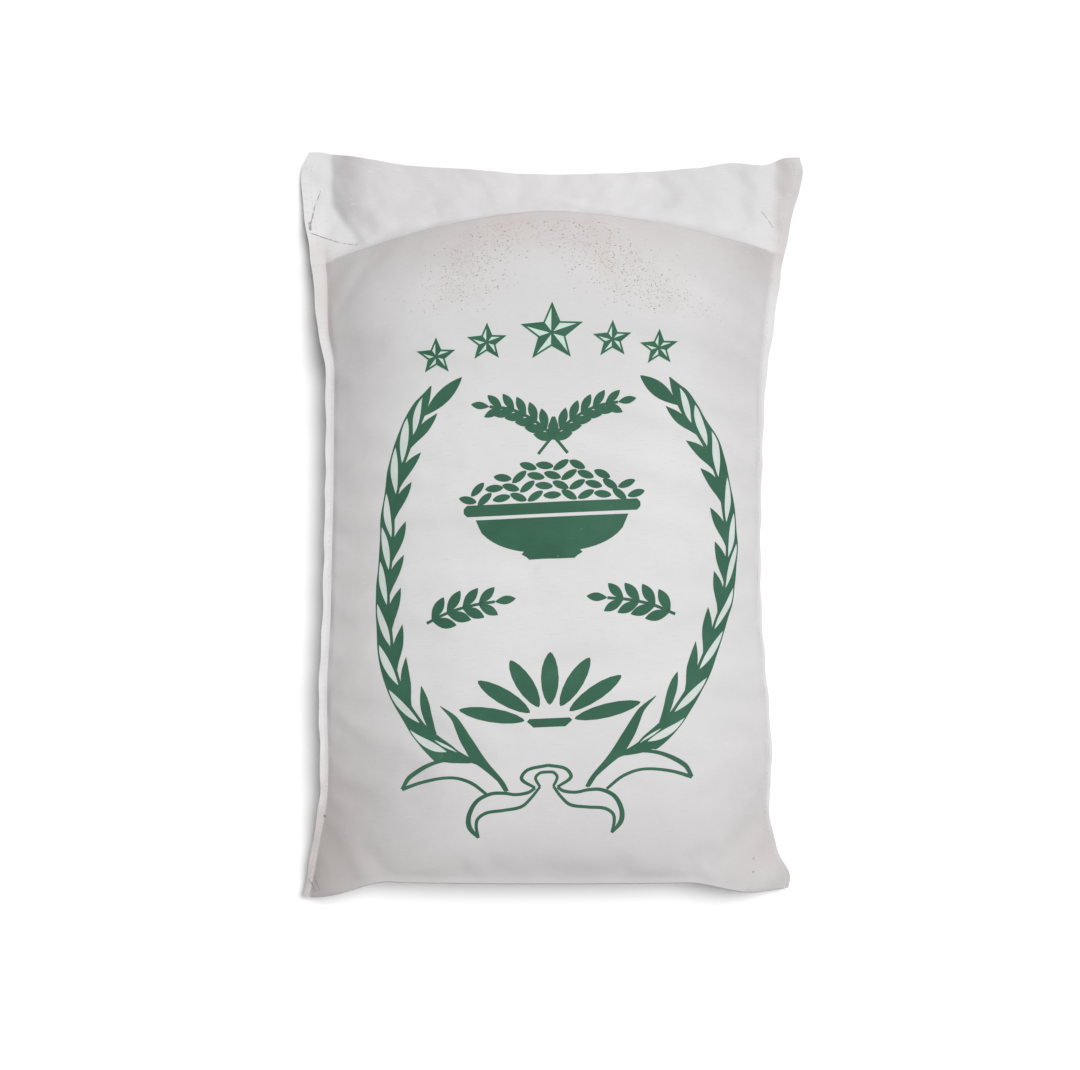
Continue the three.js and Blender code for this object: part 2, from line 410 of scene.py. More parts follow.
def pressed_puckers(front, back):
    """How far each point of the front moves when the filling presses the cloth out."""
    rows, columns = front.shape[:2]
    mesh = bpy.data.meshes.new("pressed_cloth")
    rest = np.concatenate([front.reshape(-1, 3), back.reshape(-1, 3)])
    rest[:, 2] += 0.5 * ripples(rest[:, 0], rest[:, 1])
    mesh.from_pydata((rest * mm).tolist(), [], tube_faces(rows, columns).tolist())
    pressed = bpy.data.objects.new("pressed_cloth", mesh)
    bpy.context.collection.objects.link(pressed)
    j, i = np.divmod(np.arange(rows * columns), columns)
    at_rim = (j == 0) | (j == rows - 1) | (i == 0) | (i == columns - 1)
    held = pressed.vertex_groups.new(name="held")
    held.add([int(k) for k in np.flatnonzero(np.concatenate([at_rim, at_rim]))], 1.0, "REPLACE")
    cloth_work = pressed.modifiers.new("cloth", "CLOTH")
    settings = cloth_work.settings
    settings.quality = 5
    settings.mass = 0.3
    settings.tension_stiffness = 18
    settings.compression_stiffness = 18
    settings.shear_stiffness = 6
    settings.bending_stiffness = 0.3
    settings.air_damping = 2
    settings.effector_weights.gravity = 0
    settings.use_pressure = True
    settings.uniform_pressure_force = pressure
    settings.vertex_group_mass = "held"
    settings.shrink_min = -spare_cloth
    cloth_work.collision_settings.use_collision = False
    cloth_work.point_cache.frame_start = 1
    cloth_work.point_cache.frame_end = pressed_frames
    for moment in range(1, pressed_frames + 1):
        bpy.context.scene.frame_set(moment)
    graph = bpy.context.evaluated_depsgraph_get()
    result = pressed.evaluated_get(graph).to_mesh()
    moved = np.empty(len(result.vertices) * 3)
    result.vertices.foreach_get("co", moved)
    pressed.evaluated_get(graph).to_mesh_clear()
    bpy.data.objects.remove(pressed)
    bpy.context.scene.frame_set(1)
    shift = (moved.reshape(-1, 3) / mm - rest)[:rows * columns].reshape(rows, columns, 3)
    fine_shift = shift - blurred(shift, pucker_reach)
    length = np.linalg.norm(fine_shift, axis=2, keepdims=True)
    return fine_shift * deepest_pucker * np.tanh(length / deepest_pucker) / np.maximum(length, 1e-6)


def between_points(grid, rows, columns):
    """The values of a coarse grid at finer rows and columns."""
    top = np.clip(np.floor(rows).astype(int), 0, grid.shape[0] - 2)
    left = np.clip(np.floor(columns).astype(int), 0, grid.shape[1] - 2)
    down = (rows - top)[:, None, None]
    aside = (columns - left)[None, :, None]
    upper = mix(grid[top][:, left], grid[top][:, left + 1], aside)
    lower = mix(grid[top + 1][:, left], grid[top + 1][:, left + 1], aside)
    return mix(upper, lower, down)


pressed_rows = np.arange(0, first_flap_row, pressed_step)
pressed_columns = np.arange(allowance_columns, column_count - allowance_columns, pressed_step)
coarse = cloth[pressed_rows][:, pressed_columns]
puckers = pressed_puckers(coarse[:, :, [0, 1, 2]], coarse[:, :, [0, 1, 3]])
body_rows_all = np.arange(0, pressed_rows[-1] + 1)
body_columns_all = np.arange(pressed_columns[0], pressed_columns[-1] + 1)
fine_puckers = between_points(
    puckers, body_rows_all / pressed_step, (body_columns_all - allowance_columns) / pressed_step,
)
fine_puckers = blurred(fine_puckers, 1.3) * pucker_share
from_seam = 1 - np.abs(across_columns[body_columns_all])
from_end = np.minimum(body_rows_all, pressed_rows[-1] - body_rows_all)
kept = smooth(0, 0.02, from_seam)[None, :] * smooth(1, 9, from_end)[:, None]
cloth[:pressed_rows[-1] + 1, body_columns_all, :3] += fine_puckers * kept[:, :, None]

# The raw edges of the seam allowance ruffle a little.
beyond = np.maximum(0, np.abs(across_columns) - 1)[None, :]
edge_y = cloth[:, :, 1]
ruffle = (
    0.8 * np.sin(edge_y / 7.3 + 1.1) + 0.7 * np.sin(edge_y / 4.1 + 2.0 * np.sin(edge_y / 31))
) * beyond
cloth[:, :, 2:] += ruffle[:, :, None]
cloth[:, :, 0] += 0.35 * np.sin(edge_y / 5.7 + 0.4) * beyond
cloth[:, :, 3] = np.maximum(cloth[:, :, 3], 0)

front_grid = cloth[:, :, [0, 1, 2]]
back_grid = cloth[:, :, [0, 1, 3]]

# Flat cloth measures of every column and row, for the weave.
half_width = cloth_width / 2
flat_across = np.interp(across_columns, fine, fine_cloth - half_width)
flat_across += 8 * np.sign(across_columns) * beyond[0]
middle_column = column_count // 2
middle_steps = np.linalg.norm(np.diff(front_grid[:, middle_column], axis=0), axis=1)
flat_along = np.concatenate([[0], np.cumsum(middle_steps)])


def shell_faces(rows, columns):
    """Front, back and the rim between them, with one more line of points inside the rim."""
    faces, rim = two_layers(rows, columns)
    layer = rows * columns
    inner = 2 * layer + np.arange(len(rim))
    next_rim = np.roll(rim, -1)
    next_inner = np.roll(inner, -1)
    upper = np.stack([next_rim, rim, inner, next_inner], axis=1)
    lower = np.stack([next_inner, inner, rim + layer, next_rim + layer], axis=1)
    return np.concatenate([faces, upper, lower]), rim


groove_depth = 1.8
fold_bulge = 0.7
sack_faces, rim = shell_faces(row_count, column_count)
rim_front = front_grid.reshape(-1, 3)[rim]
rim_back = back_grid.reshape(-1, 3)[rim]
rim_middle = (rim_front + rim_back) / 2
rim_row, rim_column = np.divmod(rim, column_count)
between_corners = (rim_column > allowance_columns) & (rim_column < column_count - 1 - allowance_columns)
at_fold = (rim_row == 0) & between_corners
rim_middle[rim_column == 0, 0] += groove_depth
rim_middle[rim_column == column_count - 1, 0] -= groove_depth
rim_middle[rim_row == row_count - 1, 1] -= groove_depth
rim_middle[rim_row == 0, 1] += np.where(at_fold[rim_row == 0], -fold_bulge, groove_depth)

sack_points = np.concatenate([front_grid.reshape(-1, 3), back_grid.reshape(-1, 3), rim_middle])


def mesh_of(name, points, faces):
    """A mesh from points in millimetres."""
    mesh = bpy.data.meshes.new(name)
    mesh.from_pydata((np.asarray(points) * mm).tolist(), [], [list(map(int, f)) for f in faces])
    mesh.validate()
    return mesh


def piece_of(name, mesh):
    piece = bpy.data.objects.new(name, mesh)
    bpy.context.collection.objects.link(piece)
    return piece


sack_mesh = mesh_of("rice_sack_cloth", sack_points, sack_faces)
sack_mesh.shade_smooth()
sack_mesh.set_sharp_from_angle(angle=math.radians(50))

# The weave follows the flat cloth: the front runs up from the bottom fold and the back down.
flat_front = np.stack(np.meshgrid(flat_across, flat_along), axis=2).reshape(-1, 2)
flat_back = flat_front * (1, -1)
flat_points = np.concatenate([flat_front, flat_back, flat_front[rim]]) * mm
loop_points = np.empty(len(sack_mesh.loops), np.int64)
sack_mesh.loops.foreach_get("vertex_index", loop_points)
flat_map = sack_mesh.uv_layers.new(name="flat_cloth")
flat_map.uv.foreach_set("vector", flat_points[loop_points].astype(np.float32).ravel())

# How dirty each place is, with painted shade mixed in: a warm stain at the ears, along the left side
# seam and at both bottom corners, a grey band below the shoulder that is partly dirt and partly
# painted shade, and dust from the husks below it.
stains = [
    # x, y, reach across, reach along, strength
    (-10, 226, 110, 26, 0.36), (80, 208, 70, 34, 0.13),
    (-175, 185, 14, 50, 0.8), (186, 250, 13, 60, 0.75), (178, 205, 12, 24, 0.6),
    (-172, -250, 34, 75, 0.8), (-110, -262, 60, 22, 0.35), (165, -255, 40, 32, 0.55),
    (-150, -80, 25, 190, 0.3), (-186, 216, 10, 12, 0.5),
]
# The grey band below the shoulder, partly dirt and partly painted shade: its strength on the left and on
# the right, and how far down it reaches.
left_grime_and_shade = 0.95
right_grime_and_shade = 0.64
grime_and_shade_reach = 46


def past_arch(across, y):
    """0 on the filled part and 1 on the flap, which starts at the foot of the shoulder."""
    return smooth(-0.3, 0.8, y - arch_y(across) - shoulder_run)


def stain_at(x, y):
    total = np.zeros_like(x)
    for middle_x, middle_y, reach_x, reach_y, strength in stains:
        away = np.hypot((x - middle_x) / reach_x, (y - middle_y) / reach_y)
        total += strength * (1 - smooth(0.2, 1.3, away))
    across = to_seam(across_at(x, y))
    clean_flap = past_arch(across, y) * (1 - smooth(0.85, 0.97, np.abs(across)))
    return np.clip(total, 0, 1) * (1 - 0.85 * clean_flap)


# Partly painted shade, partly dirt: a grey band that darkens the filled cloth below the shoulder, strongest
# on the left.
def grime_and_shade_at(x, y):
    across = to_seam(across_at(x, y))
    below = arch_y(across) + shoulder_run - y
    by_side = mix(left_grime_and_shade, right_grime_and_shade, smooth(-0.5, 0.4, across))
    strength = by_side * mix(0.2, 1, smooth(-0.98, -0.6, across))
    filled = 1 - past_arch(across, y)
    return strength * filled * (1 - smooth(-0.1, 1, below / grime_and_shade_reach)) ** 0.8


def soil_and_shade_at(x, y):
    """How grey the cloth is made, partly dirt and partly painted shade: most along the seams and at the
    bottom, least in the middle.
    """
    left_seam, right_seam = seams_at(y)
    left_share = mix(0.42, 0.66, smooth(-20, 150, y))
    left_share += 0.14 * smooth(-80, -220, y)
    left_share -= 0.2 * smooth(165, 210, y)
    right_share = mix(0.22, 0.40, smooth(-40, 140, y))
    # Painted shade mixed with dirt: darkest at the side seams and towards the bottom.
    by_left = left_share * (1 - smooth(-8, 78, x - left_seam))
    by_right = right_share * (1 - smooth(-8, 75, right_seam - x))
    by_bottom = 0.46 * (1 - smooth(-300, -90, y))
    lower_left = 1 - smooth(0, 1.2, np.hypot((x + 112) / 60, (y + 205) / 65))
    in_places = 0.17 * smooth(60, 150, y) + 0.28 * lower_left
    pleat_y, pleat_x = np.array(pleat_line, float).T
    beside = x - np.interp(y, pleat_y, pleat_x)
    # Painted shade in the valley beside the left pleat, on the flap.
    pleat_shade = smooth(3, 16, beside) * (1 - smooth(19, 34, beside)) * smooth(215, 240, y)
    flap = mix(0.36, 0.18, smooth(-120, 60, x)) * smooth(-10, 12, beside) * (1 - 0.5 * smooth(110, 150, x))
    flap *= mix(0.4, 1, smooth(222, 250, y))
    # The flap gets the painted pleat shade, and it is darker on the turned strip of the right ear.
    flap += 0.42 * pleat_shade + 0.25 * smooth(right_ear_line - 2, right_ear_line + 3, x)
    on_flap = past_arch(to_seam(across_at(x, y)), y)
    body = np.clip(by_left + by_right + by_bottom + in_places, 0, 1)
    allowance = smooth(0.5, 3, left_seam - x) + smooth(0.5, 3, x - right_seam)
    clean_share = np.clip(allowance, 0, 1) * smooth(-285, -190, y)
    return mix(body * (1 - clean_share), flap, on_flap)


def dust_at(x, y):
    """Two bands that run down from the top of the shoulder, one to each side."""
    fall = arch_middle + 3 - y
    left_band = 0.85 * np.exp(-(((x + 36 + 0.65 * fall) / 27) ** 2)) * smooth(80, 52, fall)
    right_band = np.exp(-(((x - 2 - 1.25 * fall) / 30) ** 2)) * smooth(84, 55, fall)
    return np.clip(left_band + right_band, 0, 1) * smooth(-4, 2, fall)


is_front = np.concatenate([
    np.ones(row_count * column_count), np.zeros(row_count * column_count), np.ones(len(rim)),
])
stain_value = stain_at(sack_points[:, 0], sack_points[:, 1])
dust_value = dust_at(sack_points[:, 0], sack_points[:, 1]) * is_front
grime_and_shade_value = grime_and_shade_at(sack_points[:, 0], sack_points[:, 1]) * is_front
soil_and_shade_value = soil_and_shade_at(sack_points[:, 0], sack_points[:, 1])
dirt_and_shade_values = (
    ("stain", stain_value), ("dust", dust_value), ("grime_and_shade", grime_and_shade_value), ("soil_and_shade", soil_and_shade_value),
)
for label, values in dirt_and_shade_values:
    layer = sack_mesh.attributes.new(label, "FLOAT", "POINT")
    layer.data.foreach_set("value", values.astype(np.float32))


def feed(tree, socket, value):
    """Links a socket to another one, or sets it to a plain value."""
    if isinstance(value, bpy.types.NodeSocket):
        tree.links.new(value, socket)
    else:
        socket.default_value = value


def reckon(tree, operation, *values):
    node = tree.nodes.new("ShaderNodeMath")
    node.operation = operation
    for socket, value in zip(node.inputs, values):
        feed(tree, socket, value)
    return node.outputs[0]


def ramp(tree, value, start, end, low=0.0, high=1.0):
    """Low up to start, high from end on, and smooth between."""
    node = tree.nodes.new("ShaderNodeMapRange")
    node.interpolation_type = "SMOOTHSTEP"
    for socket, given in zip(node.inputs, (value, start, end, low, high)):
        feed(tree, socket, given)
    return node.outputs[0]


def tint(tree, amount, below, above, blend="MIX"):
    node = tree.nodes.new("ShaderNodeMix")
    node.data_type = "RGBA"
    node.blend_type = blend
    feed(tree, node.inputs["Factor"], amount)
    feed(tree, node.inputs["A"], below)
    feed(tree, node.inputs["B"], above)
    return node.outputs["Result"]


def noise(tree, place, scale, detail=3.0, roughness=0.5):
    node = tree.nodes.new("ShaderNodeTexNoise")
    feed(tree, node.inputs["Vector"], place)
    node.inputs["Scale"].default_value = scale
    node.inputs["Detail"].default_value = detail
    node.inputs["Roughness"].default_value = roughness
    return node.outputs["Fac"]


def noise_colour(tree, place, scale):
    """Three noises as a vector, each from -0.5 to 0.5."""
    node = tree.nodes.new("ShaderNodeTexNoise")
    feed(tree, node.inputs["Vector"], place)
    node.inputs["Scale"].default_value = scale
    shifted = tree.nodes.new("ShaderNodeVectorMath")
    shifted.operation = "SUBTRACT"
    feed(tree, shifted.inputs[0], node.outputs["Color"])
    shifted.inputs[1].default_value = (0.5, 0.5, 0.5)
    return shifted.outputs[0]


def stretched(tree, place, scale):
    node = tree.nodes.new("ShaderNodeMapping")
    feed(tree, node.inputs["Vector"], place)
    node.inputs["Scale"].default_value = scale
    return node.outputs["Vector"]


def attribute(tree, label):
    node = tree.nodes.new("ShaderNodeAttribute")
    node.attribute_name = label
    return node.outputs["Fac"]


def new_material(name, roughness, specular):
    material = bpy.data.materials.new(name)
    material.use_nodes = True
    shader = material.node_tree.nodes["Principled BSDF"]
    shader.inputs["Roughness"].default_value = roughness
    shader.inputs["Specular IOR Level"].default_value = specular
    return material, material.node_tree, shader


def object_place(tree):
    return tree.nodes.new("ShaderNodeTexCoord").outputs["Object"]


def flat_place(tree):
    """The place on the flat cloth, which the yarns follow."""
    node = tree.nodes.new("ShaderNodeUVMap")
    node.uv_map = "flat_cloth"
    return node.outputs["UV"]


def show_relief(tree, shader, height, strength):
    """Lets a height show on the surface, as if it were a tenth of a millimetre high."""
    bump = tree.nodes.new("ShaderNodeBump")
    bump.inputs["Strength"].default_value = strength
    bump.inputs["Distance"].default_value = 0.0001
    feed(tree, bump.inputs["Height"], height)
    feed(tree, shader.inputs["Normal"], bump.outputs["Normal"])


def weave_height(tree, flat, pitch):
    """Plain weave: each yarn goes over one and under the next."""
    parts = tree.nodes.new("ShaderNodeSeparateXYZ")
    feed(tree, parts.inputs[0], flat)
    turns = math.pi / pitch
    across = reckon(tree, "SINE", reckon(tree, "MULTIPLY", parts.outputs[0], turns))
    along = reckon(tree, "SINE", reckon(tree, "MULTIPLY", parts.outputs[1], turns))
    return reckon(tree, "MULTIPLY", across, along)


def vector_math(tree, operation, first, second=None, factor=None):
    node = tree.nodes.new("ShaderNodeVectorMath")
    node.operation = operation
    feed(tree, node.inputs[0], first)
    if second is not None:
        feed(tree, node.inputs[1], second)
    if factor is not None:
        feed(tree, node.inputs["Scale"], factor)
    return node.outputs["Value"] if operation in ("DOT_PRODUCT", "LENGTH") else node.outputs[0]


def near_line(tree, level_place, start, end, width):
    """1 on a straight line seen from above and 0 beyond its width; lengths are millimetres."""
    run = ((end[0] - start[0]) * mm, (end[1] - start[1]) * mm, 0)
    away = vector_math(tree, "SUBTRACT", level_place, (start[0] * mm, start[1] * mm, 0))
    share = reckon(tree, "DIVIDE", vector_math(tree, "DOT_PRODUCT", away, run), run[0] ** 2 + run[1] ** 2)
    share = reckon(tree, "MINIMUM", reckon(tree, "MAXIMUM", share, 0.0), 1.0)
    foot = vector_math(tree, "SCALE", run, factor=share)
    distance = vector_math(tree, "LENGTH", vector_math(tree, "SUBTRACT", away, foot))
    return ramp(tree, distance, 0.35 * width * mm, width * mm, 1.0, 0.0)


# Dark lines where the ear was folded, painted crease shade and partly dirt, and a few dirt spots; x, y of
# both ends, width.
crease_shade_and_dirt_lines = [
    ((-184, 264), (-188.5, 250), 0.5), ((-188.5, 250), (-191, 235), 0.8),
    ((-191.5, 237), (-190.5, 232), 1.6), ((-191, 229), (-181, 225.8), 0.6),
    ((-181, 225.8), (-166, 220.5), 0.6), ((-166, 220.5), (-153, 218.5), 0.5),
    ((166, 247), (175, 234), 0.45), ((-192, -281), (-187, -290), 0.7),
    ((-188, -279), (-183, -288), 0.6), ((-178, -228), (-177.5, -228.8), 1.3),
    ((156, -260), (156.4, -260.6), 1.1), ((156, -270.5), (156.3, -271), 1.1),
]
yarn_pitch = 0.0009
cotton_colour = (0.690, 0.685, 0.690, 1)
uneven_colour = (0.665, 0.660, 0.665, 1)
# Grey of the soil, partly dirt and partly painted shade along the seams and at the bottom.
soil_and_shade_share = (0.70, 0.668, 0.672, 1)
stain_colour = (0.60, 0.545, 0.525, 1)
# Colour of the grey band below the shoulder, partly dirt and partly painted shade.
grime_and_shade_share = (0.81, 0.765, 0.765, 1)
dust_colour = (0.56, 0.50, 0.46, 1)
speck_colour = (0.40, 0.33, 0.27, 1)
slub_colour = (0.56, 0.545, 0.55, 1)
pale_slub_colour = (0.76, 0.755, 0.76, 1)
# Colour of the crease lines: painted crease shade, partly dirt.
crease_shade_and_dirt_colour = (0.27, 0.235, 0.23, 1)

cotton, tree, shader = new_material("cotton", 0.92, 0.12)
flat = flat_place(tree)
place = object_place(tree)
slubs = ramp(tree, noise(tree, stretched(tree, flat, (85, 900, 1)), 1.0, 2.0), 0.57, 0.74)
pale_slubs = ramp(tree, noise(tree, stretched(tree, flat, (110, 1050, 1)), 1.3, 2.0), 0.60, 0.76)
threads = noise(tree, stretched(tree, flat, (1100, 40, 1)), 1.0, 1.0)
patches = noise(tree, place, 9.0, 4.0)
blotches = noise(tree, place, 42.0, 3.0, 0.6)
mottle = noise(tree, place, 95.0, 3.0, 0.6)
specks = ramp(tree, noise(tree, place, 420.0, 2.0), 0.64, 0.71)
stain = reckon(tree, "MULTIPLY", attribute(tree, "stain"), ramp(tree, blotches, 0.30, 0.62, 0.55, 0.9))
# Partly painted shade, partly dirt: the grey band below the shoulder.
grime_and_shade = reckon(tree, "MULTIPLY", attribute(tree, "grime_and_shade"), ramp(tree, blotches, 0.25, 0.7, 0.8, 1.0))
# Partly painted shade, partly dirt: grey along the seams, at the bottom and on the flap.
soil_and_shade = reckon(tree, "MULTIPLY", attribute(tree, "soil_and_shade"), ramp(tree, blotches, 0.25, 0.7, 0.88, 1.08))
dust = reckon(tree, "MULTIPLY", attribute(tree, "dust"), ramp(tree, blotches, 0.35, 0.65, 0.3, 1.0))
colour = tint(tree, ramp(tree, patches, 0.35, 0.65), cotton_colour, uneven_colour)
colour = tint(tree, ramp(tree, mottle, 0.35, 0.7, 0.0, 0.5), colour, uneven_colour)
# Painted shade mixed with dirt: the soil and the band below the shoulder make the cloth greyer.
colour = tint(tree, soil_and_shade, colour, soil_and_shade_share, "MULTIPLY")
colour = tint(tree, grime_and_shade, colour, grime_and_shade_share, "MULTIPLY")
colour = tint(tree, reckon(tree, "MULTIPLY", stain, 0.8), colour, stain_colour)
colour = tint(tree, reckon(tree, "MULTIPLY", dust, 0.3), colour, dust_colour)
dusty_specks = reckon(tree, "MULTIPLY", dust, reckon(tree, "MULTIPLY", specks, 0.4))
colour = tint(tree, dusty_specks, colour, speck_colour)
colour = tint(tree, reckon(tree, "MULTIPLY", slubs, 0.34), colour, slub_colour)
colour = tint(tree, reckon(tree, "MULTIPLY", pale_slubs, 0.35), colour, pale_slub_colour)
level_place = vector_math(tree, "MULTIPLY", place, (1, 1, 0))
wander = vector_math(tree, "SCALE", noise_colour(tree, place, 90.0), factor=0.0012)
level_place = vector_math(tree, "ADD", level_place, vector_math(tree, "MULTIPLY", wander, (1, 1, 0)))
# Painted crease shade, partly dirt: thin dark lines along the ear's creases, broken by noise.
lines = 0.0
for start, end, width in crease_shade_and_dirt_lines:
    lines = reckon(tree, "MAXIMUM", lines, near_line(tree, level_place, start, end, width))
broken = ramp(tree, noise(tree, place, 260.0, 2.0), 0.32, 0.55, 0.15, 0.85)
colour = tint(tree, reckon(tree, "MULTIPLY", lines, broken), colour, crease_shade_and_dirt_colour)
feed(tree, shader.inputs["Base Color"], colour)
relief = reckon(tree, "ADD", weave_height(tree, flat, yarn_pitch), reckon(tree, "MULTIPLY", threads, 0.8))
relief = reckon(tree, "ADD", relief, reckon(tree, "MULTIPLY", slubs, 3.0))
show_relief(tree, shader, relief, 0.14)
shader.inputs["Sheen Weight"].default_value = 0.06
shader.inputs["Sheen Roughness"].default_value = 0.5

sack_mesh.materials.append(cotton)
sack = piece_of("rice_sack_cloth", sack_mesh)
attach(sack, "root")
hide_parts("rice_sack")


# ---- The print: how it lies on the cloth ----------------------------------------------------
# One colour of flat green ink, screen printed on the front panel before the sack was sewn. It
# is drawn flat, in millimetres from its middle, and then let down onto the filled sack as it
# shows from straight above, a hair above the yarns, so that it bends with the cloth.
print_middle = (-3.9, -27.9)
print_lean = 0.0125
print_tilt = 0.04
ink_lift = 0.24
bleed_lift = 0.14
longest_edge = 3.5


def cloth_place(x, y):
    """Column and row, as fractions, of the place on the front panel above x, y."""
    across = across_at(x, y)
    along = (y - brow_y(across)) / (arch_y(across) - brow_y(across))
    columns = np.interp(across, across_columns, np.arange(column_count))
    return columns, first_body_row + np.clip(along, 0, 1) * body_rows


def on_grid(grid, columns, rows):
    """A value of a grid between its points."""
    i = np.clip(columns.astype(int), 0, column_count - 2)
    j = np.clip(rows.astype(int), 0, row_count - 2)
    u = (columns - i)[:, None]
    v = (rows - j)[:, None]
    near = mix(grid[j, i], grid[j, i + 1], u)
    return mix(near, mix(grid[j + 1, i], grid[j + 1, i + 1], u), v)


steps_across = np.gradient(front_grid, axis=1)
steps_along = np.gradient(front_grid, axis=0)
front_normals = np.cross(steps_across, steps_along)
front_normals /= np.maximum(np.linalg.norm(front_normals, axis=2, keepdims=True), 1e-9)
flat_grid = np.stack(np.meshgrid(flat_across, flat_along), axis=2)


def let_down(x, y, lift):
    """Where a point of the flat drawing comes to lie: its place in millimetres and on the cloth."""
    eye_x, eye_y, eye_z = (value / mm for value in camera_place)
    drawn_x = print_middle[0] + x + print_lean * y
    drawn_y = print_middle[1] + y + print_tilt * x
    height = np.full_like(drawn_x, crown_height)
    for _ in range(4):
        nearer = (eye_z - height) / (eye_z - crown_height)
        columns, rows = cloth_place(
            eye_x + (drawn_x - eye_x) * nearer, eye_y + (drawn_y - eye_y) * nearer,
        )
        points = on_grid(front_grid, columns, rows)
        height = points[:, 2]
    return points + lift * on_grid(front_normals, columns, rows), columns, rows


full_ink = (0.030, 0.108, 0.064, 1)
thin_ink = (0.040, 0.132, 0.080, 1)
yarn_ink = (0.055, 0.155, 0.10, 1)
worn_ink = (0.14, 0.27, 0.20, 1)

ink, tree, shader = new_material("ink", 0.75, 0.25)
flat = flat_place(tree)
place = object_place(tree)
uneven = noise(tree, place, 30.0, 4.0, 0.6)
threads = noise(tree, stretched(tree, flat, (60, 1100, 1)), 1.0, 2.0)
worn = ramp(tree, noise(tree, place, 150.0, 4.0, 0.7), 0.66, 0.76)
on_yarns = reckon(tree, "MULTIPLY", ramp(tree, threads, 0.5, 0.8), 0.3)
colour = tint(tree, ramp(tree, uneven, 0.3, 0.7), full_ink, thin_ink)
colour = tint(tree, on_yarns, colour, yarn_ink)
colour = tint(tree, reckon(tree, "MULTIPLY", worn, 0.45), colour, worn_ink)
feed(tree, shader.inputs["Base Color"], colour)
relief = reckon(tree, "ADD", weave_height(tree, flat, yarn_pitch), threads)
show_relief(tree, shader, relief, 0.4)


# Where the ink has bled into the cloth it is a pale green, mostly in the places left open.
def bleed_material(name, strong, faint):
    material, tree, shader = new_material(name, 0.9, 0.12)
    bled = ramp(tree, noise(tree, object_place(tree), 110.0, 3.0, 0.6), 0.3, 0.7)
    feed(tree, shader.inputs["Base Color"], tint(tree, bled, strong, faint))
    return material


strong_bleed = bleed_material("ink_bleed_strong", (0.52, 0.665, 0.59, 1), (0.60, 0.695, 0.645, 1))
faint_bleed = bleed_material("ink_bleed_faint", (0.565, 0.63, 0.60, 1), (0.62, 0.655, 0.64, 1))


def joined(drawings):
    """One drawing from several. A drawing is its points and its faces."""
    points, faces = [], []
    for drawn_points, drawn_faces in drawings:
        faces += [[corner + len(points) for corner in face] for face in drawn_faces]
        points += [tuple(point[:2]) for point in drawn_points]
    return points, faces


def mirrored(drawing, axis):
    points, faces = drawing
    return [(2 * axis - point[0], point[1]) for point in points], faces


def printed(name, drawing, material=ink, lift=ink_lift):
    """A drawing let down onto the sack as a piece of ink."""
    points, faces = drawing
    work = bmesh.new()
    corners = [work.verts.new((x, y, 0)) for x, y in points]
    for face in faces:
        work.faces.new([corners[corner] for corner in face])
    bmesh.ops.remove_doubles(work, verts=work.verts, dist=0.02)
    bmesh.ops.triangulate(work, faces=[face for face in work.faces if len(face.verts) > 4])
    for _ in range(4):
        long_edges = [edge for edge in work.edges if edge.calc_length() > longest_edge]
        if long_edges:
            bmesh.ops.subdivide_edges(work, edges=long_edges, cuts=1, use_grid_fill=True)
    flat_points = np.array([vertex.co[:2] for vertex in work.verts])
    places, columns, rows = let_down(flat_points[:, 0], flat_points[:, 1], lift)
    flat_places = on_grid(flat_grid, columns, rows) * mm
    work.verts.index_update()
    for vertex, where in zip(work.verts, places * mm):
        vertex.co = where
    work.normal_update()
    for face in work.faces:
        if face.normal.z < 0:
            face.normal_flip()
    flat_layer = work.loops.layers.uv.new("flat_cloth")
    for face in work.faces:
        for loop in face.loops:
            loop[flat_layer].uv = flat_places[loop.vert.index]
    mesh = bpy.data.meshes.new(name)
    work.to_mesh(mesh)
    work.free()
    mesh.shade_smooth()
    mesh.materials.append(material)
    piece = piece_of(name, mesh)
    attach(piece, "root")
    return piece


# ---- The print: five stars -----------------------------------------------------------------
# A row of five-pointed stars in a low arc over the wreath, the middle one the largest. Each arm
# is split along its middle: one half is solid ink and the other only outlined.
stars = [
    # x, y, reach of the arms
    (-85.5, 156.4, 14.4), (-47.5, 165.4, 14.8), (1, 170.8, 23.2), (46.5, 164.0, 14.6),
    (82.0, 156.4, 14.2),
]
star_waist = 0.44
star_outline = 1.35
star_spread = 0.45
star_stretch = 1.06
bleed_reach = 0.5


def star_drawing(x, y, reach):
    points, faces = [], []
    centre = np.array([x, y])

    def ray(degrees, length):
        angle = math.radians(degrees)
        return centre + length * np.array([star_stretch * math.sin(angle), math.cos(angle)])

    def width_from(corner, one, other):
        edge = other - one
        to_corner = corner - one
        return abs(edge[0] * to_corner[1] - edge[1] * to_corner[0]) / np.linalg.norm(edge)

    for arm in range(5):
        tip = ray(72 * arm, reach)
        solid_waist = ray(72 * arm + 36, reach * star_waist)
        open_waist = ray(72 * arm - 36, reach * star_waist)
        # The ink leaves a smaller triangle bare in the open half: its shares of the corners.
        outer = star_outline / width_from(centre, tip, open_waist)
        tip_side = star_spread / width_from(open_waist, centre, tip)
        waist_side = star_spread / width_from(tip, centre, open_waist)
        bare = [
            (1 - waist_side - tip_side, waist_side, tip_side),
            (outer, 1 - outer - tip_side, tip_side),
            (outer, waist_side, 1 - outer - waist_side),
        ]
        first = len(points)
        points += [centre, solid_waist, tip, open_waist]
        points += [a * centre + b * tip + c * open_waist for a, b, c in bare]
        faces += [
            (first, first + 1, first + 2), (first, first + 2, first + 5, first + 4),
            (first + 2, first + 3, first + 6, first + 5), (first + 3, first, first + 4, first + 6),
        ]
    return points, faces


